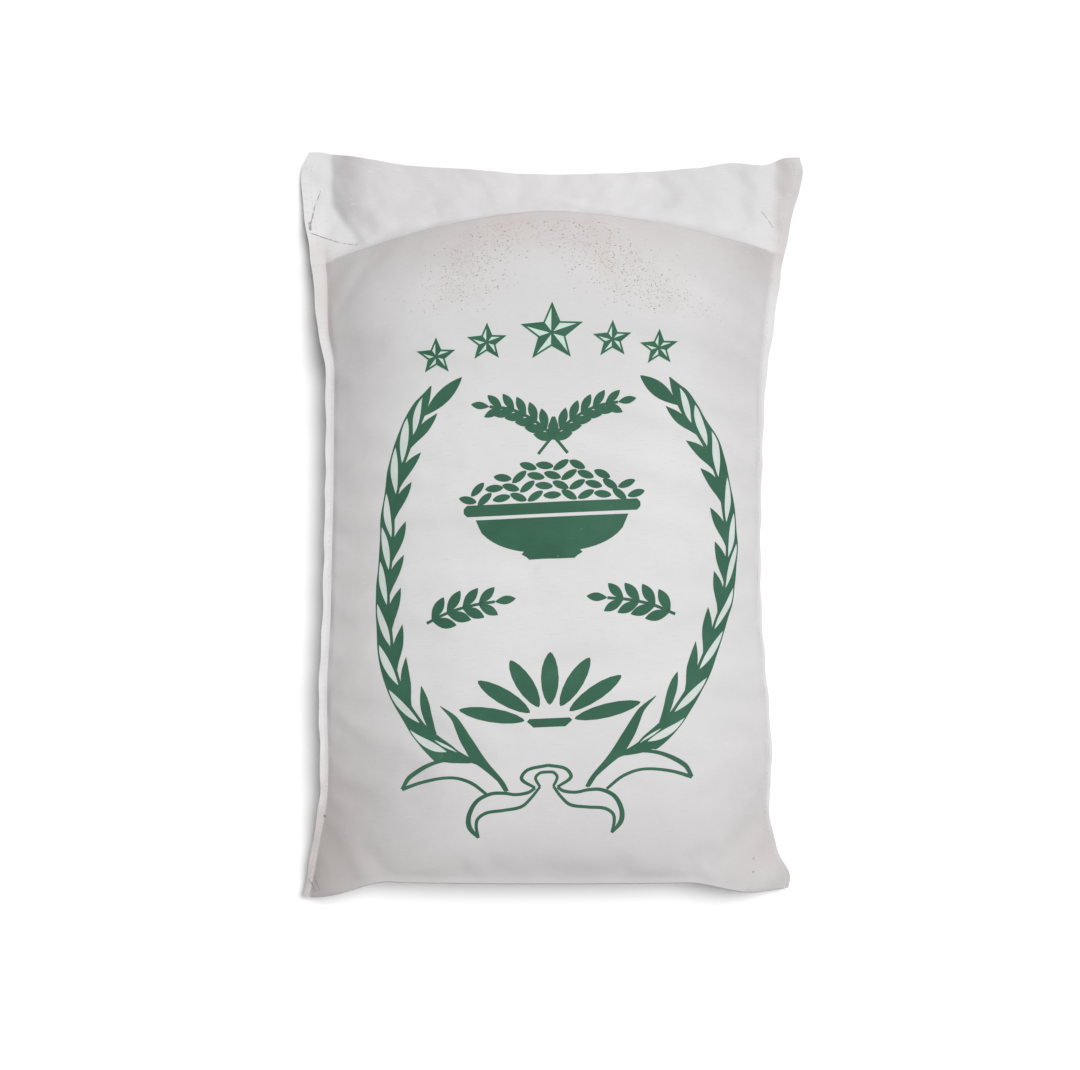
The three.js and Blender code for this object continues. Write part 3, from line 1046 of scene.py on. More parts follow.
def star_bleed(x, y, reach):
    points = [(x, y)]
    for corner in range(10):
        length = (reach if corner % 2 == 0 else reach * star_waist) + bleed_reach
        angle = math.radians(36 * corner)
        points.append((x + star_stretch * length * math.sin(angle), y + length * math.cos(angle)))
    faces = [(0, 1 + (corner - 1) % 10, 1 + corner, 1 + (corner + 1) % 10) for corner in range(0, 10, 2)]
    return points, faces


printed("printed_stars", joined([star_drawing(*star) for star in stars]))
printed("bled_stars", joined([star_bleed(*star) for star in stars]), strong_bleed, bleed_lift)


# ---- The print: the wreath -----------------------------------------------------------------
# Two laurel branches that rise from the ribbon and close round the middle of the print. Each is
# a band of ink outside its stem with a row of open leaves left bare in it, and a solid leaf
# leans in from every joint of the stem; a broad leaf ends it beside a spike of the band.
left_stem = [
    # x, y, width of the band, size of the solid leaf, size of the open leaf, its share aside
    (-54.8, -147.9, 3, 0, 0, 0), (-66.2, -141.1, 10.5, 0, 0.25, 0.03),
    (-71.0, -137.0, 15.8, 0, 0.8, 0.21), (-82.6, -128.2, 14.3, 0, 0, 0),
    (-93.3, -117.7, 11.7, 0, 1, 0), (-108.6, -89.6, 10.8, 1.6, 1, 0),
    (-115.8, -60.0, 11.6, 1.28, 1, 0), (-118.4, -29.1, 10.0, 1.04, 1, 0),
    (-118.0, -3.5, 9.8, 0.97, 1, 0), (-116.4, 21.9, 10.1, 1.05, 1, 0),
    (-113.4, 54.0, 10.2, 0.92, 1, 0), (-108.3, 77.2, 11.3, 1.03, 1, 0),
    (-100.2, 97.2, 12.6, 0, 0.8, 0), (-96.4, 105.8, 12.8, 0.97, 0, 0),
    (-91.0, 121.6, 9.5, 0, 0, 0), (-89.8, 134.4, 0.3, 0, 0, 0),
]
right_stem = [
    (58.4, -146.8, 3, 0, 0, 0), (69.3, -140.5, 8.5, 0, 0.25, 0.05),
    (73.7, -135.8, 13.5, 0, 0.8, 0.21), (86.0, -126.0, 13.6, 0, 0, 0),
    (95.3, -116.6, 12.5, 0, 1, 0), (113.3, -86.5, 10.6, 1.6, 1, 0),
    (125.2, -56.5, 9.2, 1.28, 1, 0), (132.5, -26.6, 8.3, 1.04, 1, 0),
    (133.8, -3.2, 8.4, 1.02, 1, 0), (133.1, 23.2, 8.6, 1.12, 1, 0),
    (126.3, 56.6, 9.3, 0.97, 1, 0), (117.2, 79.7, 11.4, 1.04, 1, 0),
    (105.7, 97.8, 12.3, 0, 0.8, 0), (100.4, 106.1, 12.5, 1.0, 0, 0),
    (92.9, 121.3, 9.5, 0, 0, 0), (89.8, 133.8, 0.3, 0, 0, 0),
]
stem_steps = 240
stem_half_width = 0.6
drawn_band = 10.0
leaf_root = 20.0
leaf_rise = 12.2
leaf_reach = 8.9
leaf_knee_below = 2.0
open_leaf_length = 32.5
open_leaf_width = 0.52
open_leaf_begin = 0.17
open_leaf_end = 0.88
tip_leaf_width = 10.7
tip_leaf_turn = 24
# The two edges of a solid leaf, as shares of its length and of its reach aside.
leaf_upper_edge = [(0, 0), (0.56, 0), (0.67, 0.13), (0.79, 0.38), (0.90, 0.68), (1, 1)]
leaf_lower_edge = [(0, 0), (0.2, 0.30), (0.42, 0.66), (0.64, 0.90), (0.84, 1.0), (1, 1)]


def smooth_path(points, steps):
    """Points on a smooth curve through the given ones; a size given with each goes along."""
    table = np.array(points, float)
    chords = np.linalg.norm(np.diff(table[:, :2], axis=0), axis=1)
    reach = np.concatenate([[0], np.cumsum(chords)])
    at = np.linspace(0, reach[-1], steps)
    return np.stack([stations(list(zip(reach, column)))(at) for column in table.T], axis=1)


def path_object(path, **values):
    """A line of points that carries named numbers, for a tree of nodes to work on."""
    mesh = bpy.data.meshes.new("path")
    points = [(x, y, 0) for x, y in path[:, :2]]
    mesh.from_pydata(points, [(i, i + 1) for i in range(len(points) - 1)], [])
    for label, numbers in values.items():
        layer = mesh.attributes.new(label, "FLOAT", "POINT")
        layer.data.foreach_set("value", np.asarray(numbers, np.float32))
    return piece_of("path", mesh)


def new_tree(name, numbers, whole_numbers=()):
    """A tree of nodes with named inputs and a material, and the identifier of each input."""
    tree = bpy.data.node_groups.new(name, "GeometryNodeTree")
    tree.interface.new_socket(name="Geometry", in_out="INPUT", socket_type="NodeSocketGeometry")
    inputs = [(label, "NodeSocketFloat") for label in numbers]
    inputs += [(label, "NodeSocketInt") for label in whole_numbers]
    inputs += [("Material", "NodeSocketMaterial")]
    keys = {}
    for label, kind in inputs:
        socket = tree.interface.new_socket(name=label, in_out="INPUT", socket_type=kind)
        keys[label] = socket.identifier
    tree.interface.new_socket(name="Geometry", in_out="OUTPUT", socket_type="NodeSocketGeometry")
    source = tree.nodes.new("NodeGroupInput")
    result = tree.nodes.new("NodeGroupOutput")
    return tree, keys, source.outputs, result.inputs["Geometry"]


def put(tree, kind, given=None, **settings):
    """A node with its settings made and its inputs fed."""
    node = tree.nodes.new(kind)
    for setting, value in settings.items():
        setattr(node, setting, value)
    for label, value in (given or {}).items():
        feed(tree, node.inputs[label], value)
    return node


def made_by(tree, keys, source, values):
    """The plain mesh that a tree makes from a source object, which is then removed."""
    worker = source.modifiers.new("nodes", "NODES")
    worker.node_group = tree
    for label, value in values.items():
        worker[keys[label]] = value
    graph = bpy.context.evaluated_depsgraph_get()
    mesh = bpy.data.meshes.new_from_object(
        source.evaluated_get(graph), preserve_all_data_layers=True, depsgraph=graph,
    )
    source.modifiers.remove(worker)
    bpy.data.objects.remove(source)
    return mesh


def drawing_of(mesh):
    points = [tuple(vertex.co[:2]) for vertex in mesh.vertices]
    faces = [tuple(face.vertices) for face in mesh.polygons]
    return points, faces


def plane_parts(tree):
    """x and y of each point."""
    position = put(tree, "GeometryNodeInputPosition").outputs[0]
    parts = put(tree, "ShaderNodeSeparateXYZ", {0: position}).outputs
    return parts[0], parts[1]


def vector_of(tree, x, y=0.0, z=0.0):
    """A vector from its three numbers."""
    return put(tree, "ShaderNodeCombineXYZ", {0: x, 1: y, 2: z}).outputs[0]


def set_plane(tree, geometry, x, y=0.0):
    """The geometry with each of its points at x, y."""
    place = vector_of(tree, x, y)
    return put(tree, "GeometryNodeSetPosition", {0: geometry, "Position": place}).outputs[0]


def along_edge(tree, along, edge):
    """The share aside of an edge that is given as points."""
    node = tree.nodes.new("ShaderNodeFloatCurve")
    line = node.mapping.curves[0]
    for place, share in edge[1:-1]:
        line.points.new(place, share)
    for point, (place, share) in zip(line.points, edge):
        point.location = (place, share)
        point.handle_type = "AUTO_CLAMPED"
    for point in line.points[-2:]:
        point.handle_type = "VECTOR"
    node.mapping.update()
    feed(tree, node.inputs["Value"], along)
    return node.outputs[0]


def between_edges(tree, length, reach, near_edge, far_edge):
    """A filled strip along +X between two edges."""
    grid = put(tree, "GeometryNodeMeshGrid", {
        "Size X": 1.0, "Size Y": 1.0, "Vertices X": 25, "Vertices Y": 4,
    })
    x, y = plane_parts(tree)
    along = reckon(tree, "ADD", x, 0.5)
    near = along_edge(tree, along, near_edge)
    far = along_edge(tree, along, far_edge)
    share = reckon(tree, "ADD", y, 0.5)
    aside = reckon(tree, "MULTIPLY_ADD", reckon(tree, "SUBTRACT", far, near), share, near)
    return set_plane(
        tree, grid.outputs["Mesh"], reckon(tree, "MULTIPLY", along, length),
        reckon(tree, "MULTIPLY", aside, reach),
    )


def pointed_leaf(tree, length, width):
    """A filled leaf along +X, alike on both sides."""
    grid = put(tree, "GeometryNodeMeshGrid", {
        "Size X": 1.0, "Size Y": 1.0, "Vertices X": 19, "Vertices Y": 5,
    })
    x, y = plane_parts(tree)
    along = reckon(tree, "ADD", x, 0.5)
    turned = reckon(tree, "MULTIPLY", reckon(tree, "POWER", along, 1.1), math.pi)
    belly = reckon(tree, "POWER", reckon(tree, "MAXIMUM", reckon(tree, "SINE", turned), 0.0), 0.85)
    aside = reckon(tree, "MULTIPLY", y, reckon(tree, "MULTIPLY", belly, width))
    return set_plane(tree, grid.outputs["Mesh"], reckon(tree, "MULTIPLY", along, length), aside)


def named(tree, label):
    """A number that the path carries at each of its points."""
    return put(tree, "GeometryNodeInputNamedAttribute", {"Name": label}, data_type="FLOAT").outputs[0]


def turn_along(tree, way):
    """The turn that points +X the given way."""
    return put(tree, "FunctionNodeAlignRotationToVector", {"Vector": way}, axis="X").outputs[0]


def stroke(tree, curve, width):
    """A flat line of ink along the curve."""
    level = put(tree, "GeometryNodeSetCurveNormal", {0: curve}, mode="Z_UP").outputs[0]
    profile = put(tree, "GeometryNodeCurvePrimitiveLine", {"Start": (-0.5, 0, 0), "End": (0.5, 0, 0)})
    wide = put(tree, "GeometryNodeSetCurveRadius", {0: level, "Radius": width}).outputs[0]
    line = put(tree, "GeometryNodeCurveToMesh", {0: wide, 1: profile.outputs[0]})
    if "Scale" in line.inputs:
        feed(tree, line.inputs["Scale"], width)
    return line.outputs[0]


def together(tree, parts):
    """All the parts as one geometry."""
    gathered = tree.nodes.new("GeometryNodeJoinGeometry")
    for part in parts:
        tree.links.new(part, gathered.inputs[0])
    return gathered.outputs[0]


def made_real(tree, instances):
    return put(tree, "GeometryNodeRealizeInstances", {0: instances}).outputs[0]


def finish_tree(tree, parts, material, result):
    """Joins the parts, makes instances real and gives them their material."""
    real = made_real(tree, together(tree, reversed(parts)))
    covered = put(tree, "GeometryNodeSetMaterial", {0: real, "Material": material})
    tree.links.new(covered.outputs[0], result)


def lens_outline(tree, length, width, begin, end):
    """A closed line round a pointed lens that leans from one share aside to another."""
    ring = put(tree, "GeometryNodeCurvePrimitiveCircle", {"Resolution": 30, "Radius": 1.0})
    x, y = plane_parts(tree)
    along = reckon(tree, "MULTIPLY_ADD", x, -0.5, 0.5)
    belly = reckon(tree, "MULTIPLY", y, reckon(tree, "ABSOLUTE", y))
    lean = reckon(tree, "MULTIPLY_ADD", along, reckon(tree, "SUBTRACT", end, begin), begin)
    aside = reckon(tree, "MULTIPLY_ADD", belly, reckon(tree, "MULTIPLY", width, 0.5), lean)
    return set_plane(tree, ring.outputs[0], reckon(tree, "MULTIPLY", along, length), aside)


laurel, laurel_keys, given, result = new_tree("laurel_branch", [
    "Side", "Drawn band", "Stem half width", "Leaf root", "Leaf rise", "Leaf reach", "Leaf knee",
    "Open leaf length", "Open leaf width", "Open leaf begin", "Open leaf end",
    "Tip leaf length", "Tip leaf width", "Tip leaf turn",
])
curve = put(laurel, "GeometryNodeMeshToCurve", {0: given["Geometry"]}).outputs[0]
stem_reach = put(laurel, "GeometryNodeSplineParameter").outputs["Length"]
stem_length = put(laurel, "GeometryNodeCurveLength", {0: curve}).outputs[0]
inwards = -1.0

# Everything is drawn beside a straight stem along +X, the band above it in shares of its width.
solid_leaf = between_edges(
    laurel, reckon(laurel, "ADD", given["Leaf root"], given["Leaf rise"]),
    reckon(laurel, "MULTIPLY", given["Leaf reach"], inwards), leaf_upper_edge, leaf_lower_edge,
)
leaf_size = named(laurel, "leaf")
leaf_foot = reckon(laurel, "SUBTRACT", stem_reach, given["Leaf root"])
solid_leaves = put(laurel, "GeometryNodeInstanceOnPoints", {
    "Points": set_plane(laurel, curve, leaf_foot),
    "Selection": reckon(laurel, "GREATER_THAN", leaf_size, 0.0), "Instance": solid_leaf,
})
# Each leaf is as long below its joint as the others; a larger one is longer past it.
x, y = plane_parts(laurel)
leaf_knee = reckon(laurel, "SUBTRACT", named(laurel, "reach"), given["Leaf knee"])
past_knee = reckon(laurel, "MAXIMUM", reckon(laurel, "SUBTRACT", x, leaf_knee), 0.0)
extra_rise = reckon(laurel, "MULTIPLY", given["Leaf rise"], reckon(laurel, "SUBTRACT", leaf_size, 1.0))
longer = reckon(laurel, "DIVIDE", extra_rise, reckon(laurel, "ADD", given["Leaf rise"], given["Leaf knee"]))
grown_leaves = set_plane(
    laurel, made_real(laurel, solid_leaves.outputs[0]),
    reckon(laurel, "MULTIPLY_ADD", past_knee, longer, x), y,
)

open_size = named(laurel, "opening")
open_width, open_begin, open_end = (
    reckon(laurel, "MULTIPLY", given[label], given["Drawn band"])
    for label in ("Open leaf width", "Open leaf begin", "Open leaf end")
)
open_foot = reckon(laurel, "MULTIPLY", named(laurel, "aside"), given["Drawn band"])
open_leaves = put(laurel, "GeometryNodeInstanceOnPoints", {
    "Points": set_plane(laurel, curve, stem_reach, open_foot),
    "Selection": reckon(laurel, "GREATER_THAN", open_size, 0.0),
    "Instance": lens_outline(laurel, given["Open leaf length"], open_width, open_begin, open_end),
    "Scale": vector_of(laurel, reckon(laurel, "POWER", open_size, 0.35), open_size, 1.0),
})

band_grid = put(laurel, "GeometryNodeMeshGrid", {
    "Size X": 1.0, "Size Y": 1.0, "Vertices X": stem_steps, "Vertices Y": 2,
})
x, y = plane_parts(laurel)
band_height = reckon(laurel, "ADD", given["Drawn band"], given["Stem half width"])
band_along = reckon(laurel, "MULTIPLY", reckon(laurel, "ADD", x, 0.5), stem_length)
above_lower_edge = reckon(laurel, "MULTIPLY", reckon(laurel, "ADD", y, 0.5), band_height)
band_strip = set_plane(
    laurel, band_grid.outputs["Mesh"], band_along,
    reckon(laurel, "SUBTRACT", above_lower_edge, given["Stem half width"]),
)
at_rim = reckon(laurel, "LESS_THAN", put(laurel, "GeometryNodeInputMeshEdgeNeighbors").outputs[0], 1.5)
band_outline = put(laurel, "GeometryNodeMeshToCurve", {0: band_strip, 1: at_rim}).outputs[0]
outlines = together(laurel, [made_real(laurel, open_leaves.outputs[0]), band_outline])
band = put(laurel, "GeometryNodeFillCurve", {0: outlines}, mode="TRIANGLES")

# The straight drawing is bent along the real stem.
straight = together(laurel, [grown_leaves, band.outputs[0]])
x, y = plane_parts(laurel)
on_stem = put(laurel, "GeometryNodeSampleCurve", {
    0: curve, "Value": named(laurel, "band"), "Length": x,
}, mode="LENGTH", data_type="FLOAT")
way = put(laurel, "ShaderNodeSeparateXYZ", {0: on_stem.outputs["Tangent"]}).outputs
foot = put(laurel, "ShaderNodeSeparateXYZ", {0: on_stem.outputs["Position"]}).outputs
band_share = reckon(laurel, "DIVIDE", reckon(laurel, "MAXIMUM", y, 0.0), given["Drawn band"])
in_band = reckon(laurel, "MULTIPLY", band_share, on_stem.outputs["Value"])
from_stem = reckon(laurel, "ADD", in_band, reckon(laurel, "MINIMUM", y, 0.0))
aside = reckon(laurel, "MULTIPLY", from_stem, given["Side"])
bent = set_plane(
    laurel, straight,
    reckon(laurel, "SUBTRACT", foot[0], reckon(laurel, "MULTIPLY", way[1], aside)),
    reckon(laurel, "ADD", foot[1], reckon(laurel, "MULTIPLY", way[0], aside)),
)

inner_side = reckon(laurel, "MULTIPLY", given["Side"], inwards)
tip_turn = reckon(laurel, "MULTIPLY", given["Tip leaf turn"], inner_side)
tip_leaf = put(laurel, "GeometryNodeTransform", {
    0: pointed_leaf(laurel, given["Tip leaf length"], given["Tip leaf width"]),
    "Rotation": vector_of(laurel, 0.0, 0.0, tip_turn),
})
tip_leaves = put(laurel, "GeometryNodeInstanceOnPoints", {
    "Points": curve, "Selection": reckon(laurel, "GREATER_THAN", named(laurel, "tip"), 0.0),
    "Instance": tip_leaf.outputs[0],
    "Rotation": turn_along(laurel, put(laurel, "GeometryNodeInputTangent").outputs[0]),
})
finish_tree(laurel, [bent, tip_leaves.outputs[0]], given["Material"], result)


def at_joints(path, stem, column):
    """The numbers of one column of the stem, each at the point of the path that is nearest."""
    numbers = np.zeros(len(path))
    for row in stem:
        nearest = np.argmin(np.hypot(path[:, 0] - row[0], path[:, 1] - row[1]))
        numbers[nearest] = row[column]
    return numbers


def laurel_branch(stem, side, tip_leaf_root, tip_leaf_length, leafy=1.0):
    """One branch; with leafy at 0 it is only the stem and the whole band."""
    path = smooth_path([row[:3] for row in stem], stem_steps)
    steps = np.linalg.norm(np.diff(path[:, :2], axis=0), axis=1)
    source = path_object(
        path, reach=np.concatenate([[0], np.cumsum(steps)]), band=path[:, 2],
        leaf=leafy * at_joints(path, stem, 3), opening=leafy * at_joints(path, stem, 4),
        aside=at_joints(path, stem, 5), tip=leafy * at_joints(path, [(*tip_leaf_root, 1)], 2),
    )
    return drawing_of(made_by(laurel, laurel_keys, source, {
        "Side": side, "Drawn band": drawn_band, "Stem half width": stem_half_width,
        "Leaf root": leaf_root, "Leaf rise": leaf_rise, "Leaf reach": leaf_reach,
        "Leaf knee": leaf_knee_below,
        "Open leaf length": open_leaf_length, "Open leaf width": open_leaf_width,
        "Open leaf begin": open_leaf_begin, "Open leaf end": open_leaf_end,
        "Tip leaf length": tip_leaf_length, "Tip leaf width": tip_leaf_width,
        "Tip leaf turn": math.radians(tip_leaf_turn), "Material": ink,
    }))


# Stem, side, foot of the tip leaf and its length.
left_branch = (left_stem, 1.0, (-94.6, 111.2), 40.0)
right_branch = (right_stem, -1.0, (97.2, 112.6), 37.7)
printed("printed_branch_left", laurel_branch(*left_branch))
printed("printed_branch_right", laurel_branch(*right_branch))
printed("bled_branch_left", laurel_branch(*left_branch, leafy=0.0), faint_bleed, bleed_lift)
printed("bled_branch_right", laurel_branch(*right_branch, leafy=0.0), faint_bleed, bleed_lift)


# ---- The print: the ribbon below the wreath ------------------------------------------------
# A curled ribbon with a loop in its middle ties the two branches. On each side an open leaf lies
# over it, a long solid leaf rises inside the branch and a slender one stands on the branch's
# lowest joint. Everything is drawn as lines.
ribbon_axis = 2.3
left_tail_share = 0.995
right_tail_share = 0.977
right_tail_pull = 2.15
pull_run = 8
tail_drop = 0.55
line_weight = 1.1
right_leaf_shift = (-1.2, 0.9)
ribbon_lines = [
    # points of one line: x from the axis, y, width
    [(-109.2, -168.3, 2.4), (-103.9, -159, 3.2), (-85.8, -149.5, 2.6), (-68.2, -147.3, 2.2),
     (-52.2, -150.8, 2.8), (-38.9, -160.9, 3.0), (-31.4, -172.1, 2.2)],
    [(-109.2, -168.3, 2.6), (-92.9, -163.1, 2.2), (-72.5, -161, 2.0), (-57.8, -165.2, 2.2),
     (-45.3, -174.5, 2.0)],
    [(-9.6, -170.1, 2.0), (-14.1, -173.2, 2.2), (-24.1, -174.6, 2.1), (-32.8, -173.2, 2.2),
     (-43.1, -173.5, 2.4), (-53.3, -178.6, 2.8), (-58.9, -188.7, 3.2), (-58.6, -197.3, 3.4),
     (-51.8, -205.6, 1.6)],
    [(-5.9, -169.5, 1.8), (-12.3, -177.3, 2.0), (-19.5, -183.6, 2.2), (-32.7, -185.9, 2.1),
     (-45.9, -187.4, 2.2), (-52.4, -191.7, 2.2), (-53.4, -197.6, 2.2), (-51.5, -205.6, 1.6)],
    [(-9.6, -170.1, 1.8), (-19.8, -163.1, 2.4), (-15.6, -156.7, 2.2), (0, -153.6, 2.2)],
    [(-5.9, -169.5, 1.8), (-9.3, -162.8, 2.0), (-6, -159.2, 2.0), (0, -158.6, 2.0)],
    [(-81.3, -106.5, 0.5), (-70.9, -116, 4.2), (-66.1, -124.5, 6.8), (-62.6, -131.6, 8.4),
     (-59, -137.8, 9.0), (-54.6, -145.1, 9.0), (-46.1, -154, 5.6), (-39.3, -160.6, 4.2),
     (-33.8, -166.6, 3.2), (-30.2, -172.4, 2.3)],
]
# The slender leaf on the lowest joint of each branch: x, y, width.
left_slender_leaf = [
    (-93.4, -90.9, 0.4), (-91.8, -98.8, 4.9), (-90.3, -106.0, 6.9), (-89.1, -111.6, 7.0),
    (-87.6, -117.4, 6.4), (-85.8, -123.1, 5.0), (-82.8, -127.6, 1.6),
]
right_slender_leaf = [
    (98.9, -88.1, 0.4), (96.7, -94.1, 4.5), (94.5, -101.5, 6.7), (92.8, -107.7, 6.5),
    (91.4, -113.9, 6.1), (89.5, -120.1, 5.0), (86.2, -125.6, 1.6),
]

inked_line, line_keys, given, result = new_tree("inked_line", [])
curve = put(inked_line, "GeometryNodeMeshToCurve", {0: given["Geometry"]}).outputs[0]
finish_tree(inked_line, [stroke(inked_line, curve, named(inked_line, "size"))], given["Material"], result)


def line_drawing(points, steps=40):
    path = smooth_path(points, steps)
    source = path_object(path, size=path[:, 2])
    return drawing_of(made_by(inked_line, line_keys, source, {"Material": ink}))


def beside_axis(line, side, share=1.0, pull=0.0, shift=(0, 0), weight=line_weight):
    """A line on one side of the axis, narrowed by a share and pulled towards the axis."""
    placed = []
    for x, y, width in line:
        away = share * x + pull * min(1, abs(x) / pull_run)
        placed.append((ribbon_axis + side * away + shift[0], y + shift[1], width * weight))
    return placed


leaf_lines = ribbon_lines[:2]
tail_lines = ribbon_lines[2:6]
long_leaf = ribbon_lines[6]
drawn_lines = [beside_axis(line, 1) for line in leaf_lines]
drawn_lines += [beside_axis(line, -1, shift=right_leaf_shift) for line in leaf_lines]
drawn_lines += [beside_axis(line, 1, left_tail_share, shift=(0, -tail_drop)) for line in tail_lines]
drawn_lines += [
    beside_axis(line, -1, right_tail_share, right_tail_pull, (0, -tail_drop)) for line in tail_lines
]
drawn_lines += [
    beside_axis(long_leaf, 1, weight=1), beside_axis(long_leaf, -1, shift=right_leaf_shift, weight=1),
]
drawn_lines += [left_slender_leaf, right_slender_leaf]
printed("printed_ribbon", joined([line_drawing(line) for line in drawn_lines]))


# ---- The print: the bowl, ears and sheaf inside the wreath ----------------------------------
# Plain pictures in solid ink fill the middle: two ears of rice that cross over a heaped bowl, a
# sprig on each side below it, and a sheaf of leaves at the foot.
ear, ear_keys, given, result = new_tree("ear_of_grain", [
    "Grain length", "Grain width", "Lean", "Bare stem", "Stem width",
], ["Grains"])
curve = put(ear, "GeometryNodeMeshToCurve", {0: given["Geometry"]}).outputs[0]
grain_stretch = put(ear, "GeometryNodeTrimCurve", {0: curve, "Start": given["Bare stem"], "End": 1.0})
points = put(ear, "GeometryNodeCurveToPoints", {
    0: grain_stretch.outputs[0], "Count": given["Grains"],
}, mode="COUNT")
turn = turn_along(ear, points.outputs["Tangent"])
grain = pointed_leaf(ear, given["Grain length"], given["Grain width"])
before_last = reckon(ear, "SUBTRACT", given["Grains"], 1.5)
is_last = reckon(ear, "GREATER_THAN", put(ear, "GeometryNodeInputIndex").outputs[0], before_last)
ear_parts = [stroke(ear, curve, given["Stem width"])]
for side in (-1.0, 0.0, 1.0):
    leaning = put(ear, "GeometryNodeTransform", {
        0: grain, "Rotation": vector_of(ear, 0.0, 0.0, reckon(ear, "MULTIPLY", given["Lean"], side)),
    })
    grains = put(ear, "GeometryNodeInstanceOnPoints", {
        "Points": points.outputs["Points"],
        "Selection": is_last if side == 0 else reckon(ear, "SUBTRACT", 1.0, is_last),
        "Instance": leaning.outputs[0], "Rotation": turn, "Scale": named(ear, "size"),
    })
    ear_parts.append(grains.outputs[0])
finish_tree(ear, ear_parts, given["Material"], result)


def ear_drawing(points, grains, length, width, lean, bare_stem, stem_width):
    path = smooth_path(points, 60)
    source = path_object(path, size=path[:, 2])
    return drawing_of(made_by(ear, ear_keys, source, {
        "Grains": grains, "Grain length": length, "Grain width": width, "Lean": math.radians(lean),
        "Bare stem": bare_stem, "Stem width": stem_width, "Material": ink,
    }))


device_axis = 3.0
crossing_lift = 0.12
ear_path = [(11, 80, 1.1), (1, 92, 1.1), (-14, 105, 1.05), (-31, 114, 1.0), (-48, 117, 0.9)]
sprig_path = [(-93, -44, 1.1), (-76, -36.5, 1.1), (-58, -32, 1.0), (-42, -30, 0.9)]


def beside_device_axis(path):
    return [(x + device_axis, y, size) for x, y, size in path]


one_ear = ear_drawing(
    beside_device_axis(ear_path), grains=7, length=15.5, width=6.2, lean=34, bare_stem=0.2,
    stem_width=2.2,
)
printed("printed_ear_left", one_ear)
printed("printed_ear_right", mirrored(one_ear, device_axis), ink, ink_lift + crossing_lift)
one_sprig = ear_drawing(
    beside_device_axis(sprig_path), grains=5, length=17.5, width=7.2, lean=38, bare_stem=0.08,
    stem_width=2.2,
)
printed("printed_sprigs", joined([one_sprig, mirrored(one_sprig, device_axis)]))

blade_corners = 16


def blade(x, y, degrees, length, width, wider=1.0):
    """A pointed oval with its middle at x, y that points up, turned to the right by degrees."""
    angle = math.radians(degrees)
    rim = []
    for step in range(blade_corners):
        around = 2 * math.pi * step / blade_corners
        up = math.cos(around) * length / 2
        aside = math.sin(around) * abs(math.sin(around)) ** 0.35 * width / 2
        rim.append((
            x + wider * (up * math.sin(angle) + aside * math.cos(angle)),
            y + up * math.cos(angle) - aside * math.sin(angle),
        ))
    return rim, [tuple(range(blade_corners))]


bowl_rim_half = 66
bowl_rim_top = 43.5
bowl_rim_height = 8.5
bowl_gap = 2.6
bowl_half = 57
bowl_bottom = 6
foot_half = 23
foot_height = 6
foot_taper = 4
foot_overlap = 1
belly_steps = 14


def level_bar(half, top, height, taper=0.0):
    """A bar across the axis with blunt ends, narrower at its bottom by the taper."""
    bevel = height * 0.3
    right = [
        (half - bevel, top), (half, top - bevel), (half - taper, top - height + bevel),
        (half - taper - bevel, top - height),
    ]
    outline = [(device_axis + x, y) for x, y in right]
    outline += [(device_axis - x, y) for x, y in reversed(right)]
    return outline, [tuple(range(len(outline)))]


def bowl_belly(top, bottom):
    outline = []
    for step in range(-belly_steps, belly_steps + 1):
        share = step / belly_steps
        depth = (1 - abs(share) ** 2.6) ** 0.55
        outline.append((device_axis + bowl_half * share, top - (top - bottom) * depth))
    return outline, [tuple(range(len(outline)))]


# Rows of the heap: its number, how many grains reach to each side, and their distance.
heap_rows = [(0, 5, 12.6), (1, 4.5, 12.4), (2, 3, 12.4), (3, 1.5, 12.2)]
grain_length = 13.5
grain_width = 5.8
first_row_height = 5.2
heap_step = 7.6
heap_fall = 0.25
heap = []
for row, half_count, pitch in heap_rows:
    for place in np.arange(-half_count, half_count + 0.5):
        lean = 90 + 34 * math.sin(2.1 * place + 1.3 * row) + 3 * place
        grain_x = device_axis + pitch * place
        grain_y = bowl_rim_top + first_row_height + heap_step * row - heap_fall * abs(place)
        heap.append(blade(grain_x, grain_y, lean, grain_length, grain_width))
belly_top = bowl_rim_top - bowl_rim_height - bowl_gap
bowl = [
    level_bar(bowl_rim_half, bowl_rim_top, bowl_rim_height), bowl_belly(belly_top, bowl_bottom),
    level_bar(foot_half, bowl_bottom + foot_overlap, foot_height, foot_taper),
]
printed("printed_bowl", joined(bowl + heap))

sheaf_foot = -124
sheaf_reach = 35
sheaf_blade = 40
sheaf_width = 10.5
sheaf_wider = 1.28
tie_half = 17
tie_rise = 5
tie_height = 6.5
tie_taper = 3
sheaf = []
for degrees in range(-75, 76, 25):
    angle = math.radians(degrees)
    blade_x = device_axis + sheaf_wider * sheaf_reach * math.sin(angle)
    blade_y = sheaf_foot + sheaf_reach * math.cos(angle)
    sheaf.append(blade(blade_x, blade_y, degrees, sheaf_blade, sheaf_width, sheaf_wider))
sheaf.append(level_bar(tie_half, sheaf_foot + tie_rise, tie_height, tie_taper))
printed("printed_sheaf", joined(sheaf))


# ---- The thread of the side seams ----------------------------------------------------------
# White cotton thread, sewn through both layers a few millimetres outside the edge of the filled
# body. The same row of stitches shows on the front and on the back.
stitch_pitch = 0.0045
stitch_length = 0.0033
stitch_width = 0.0006
stitch_column = 1.32

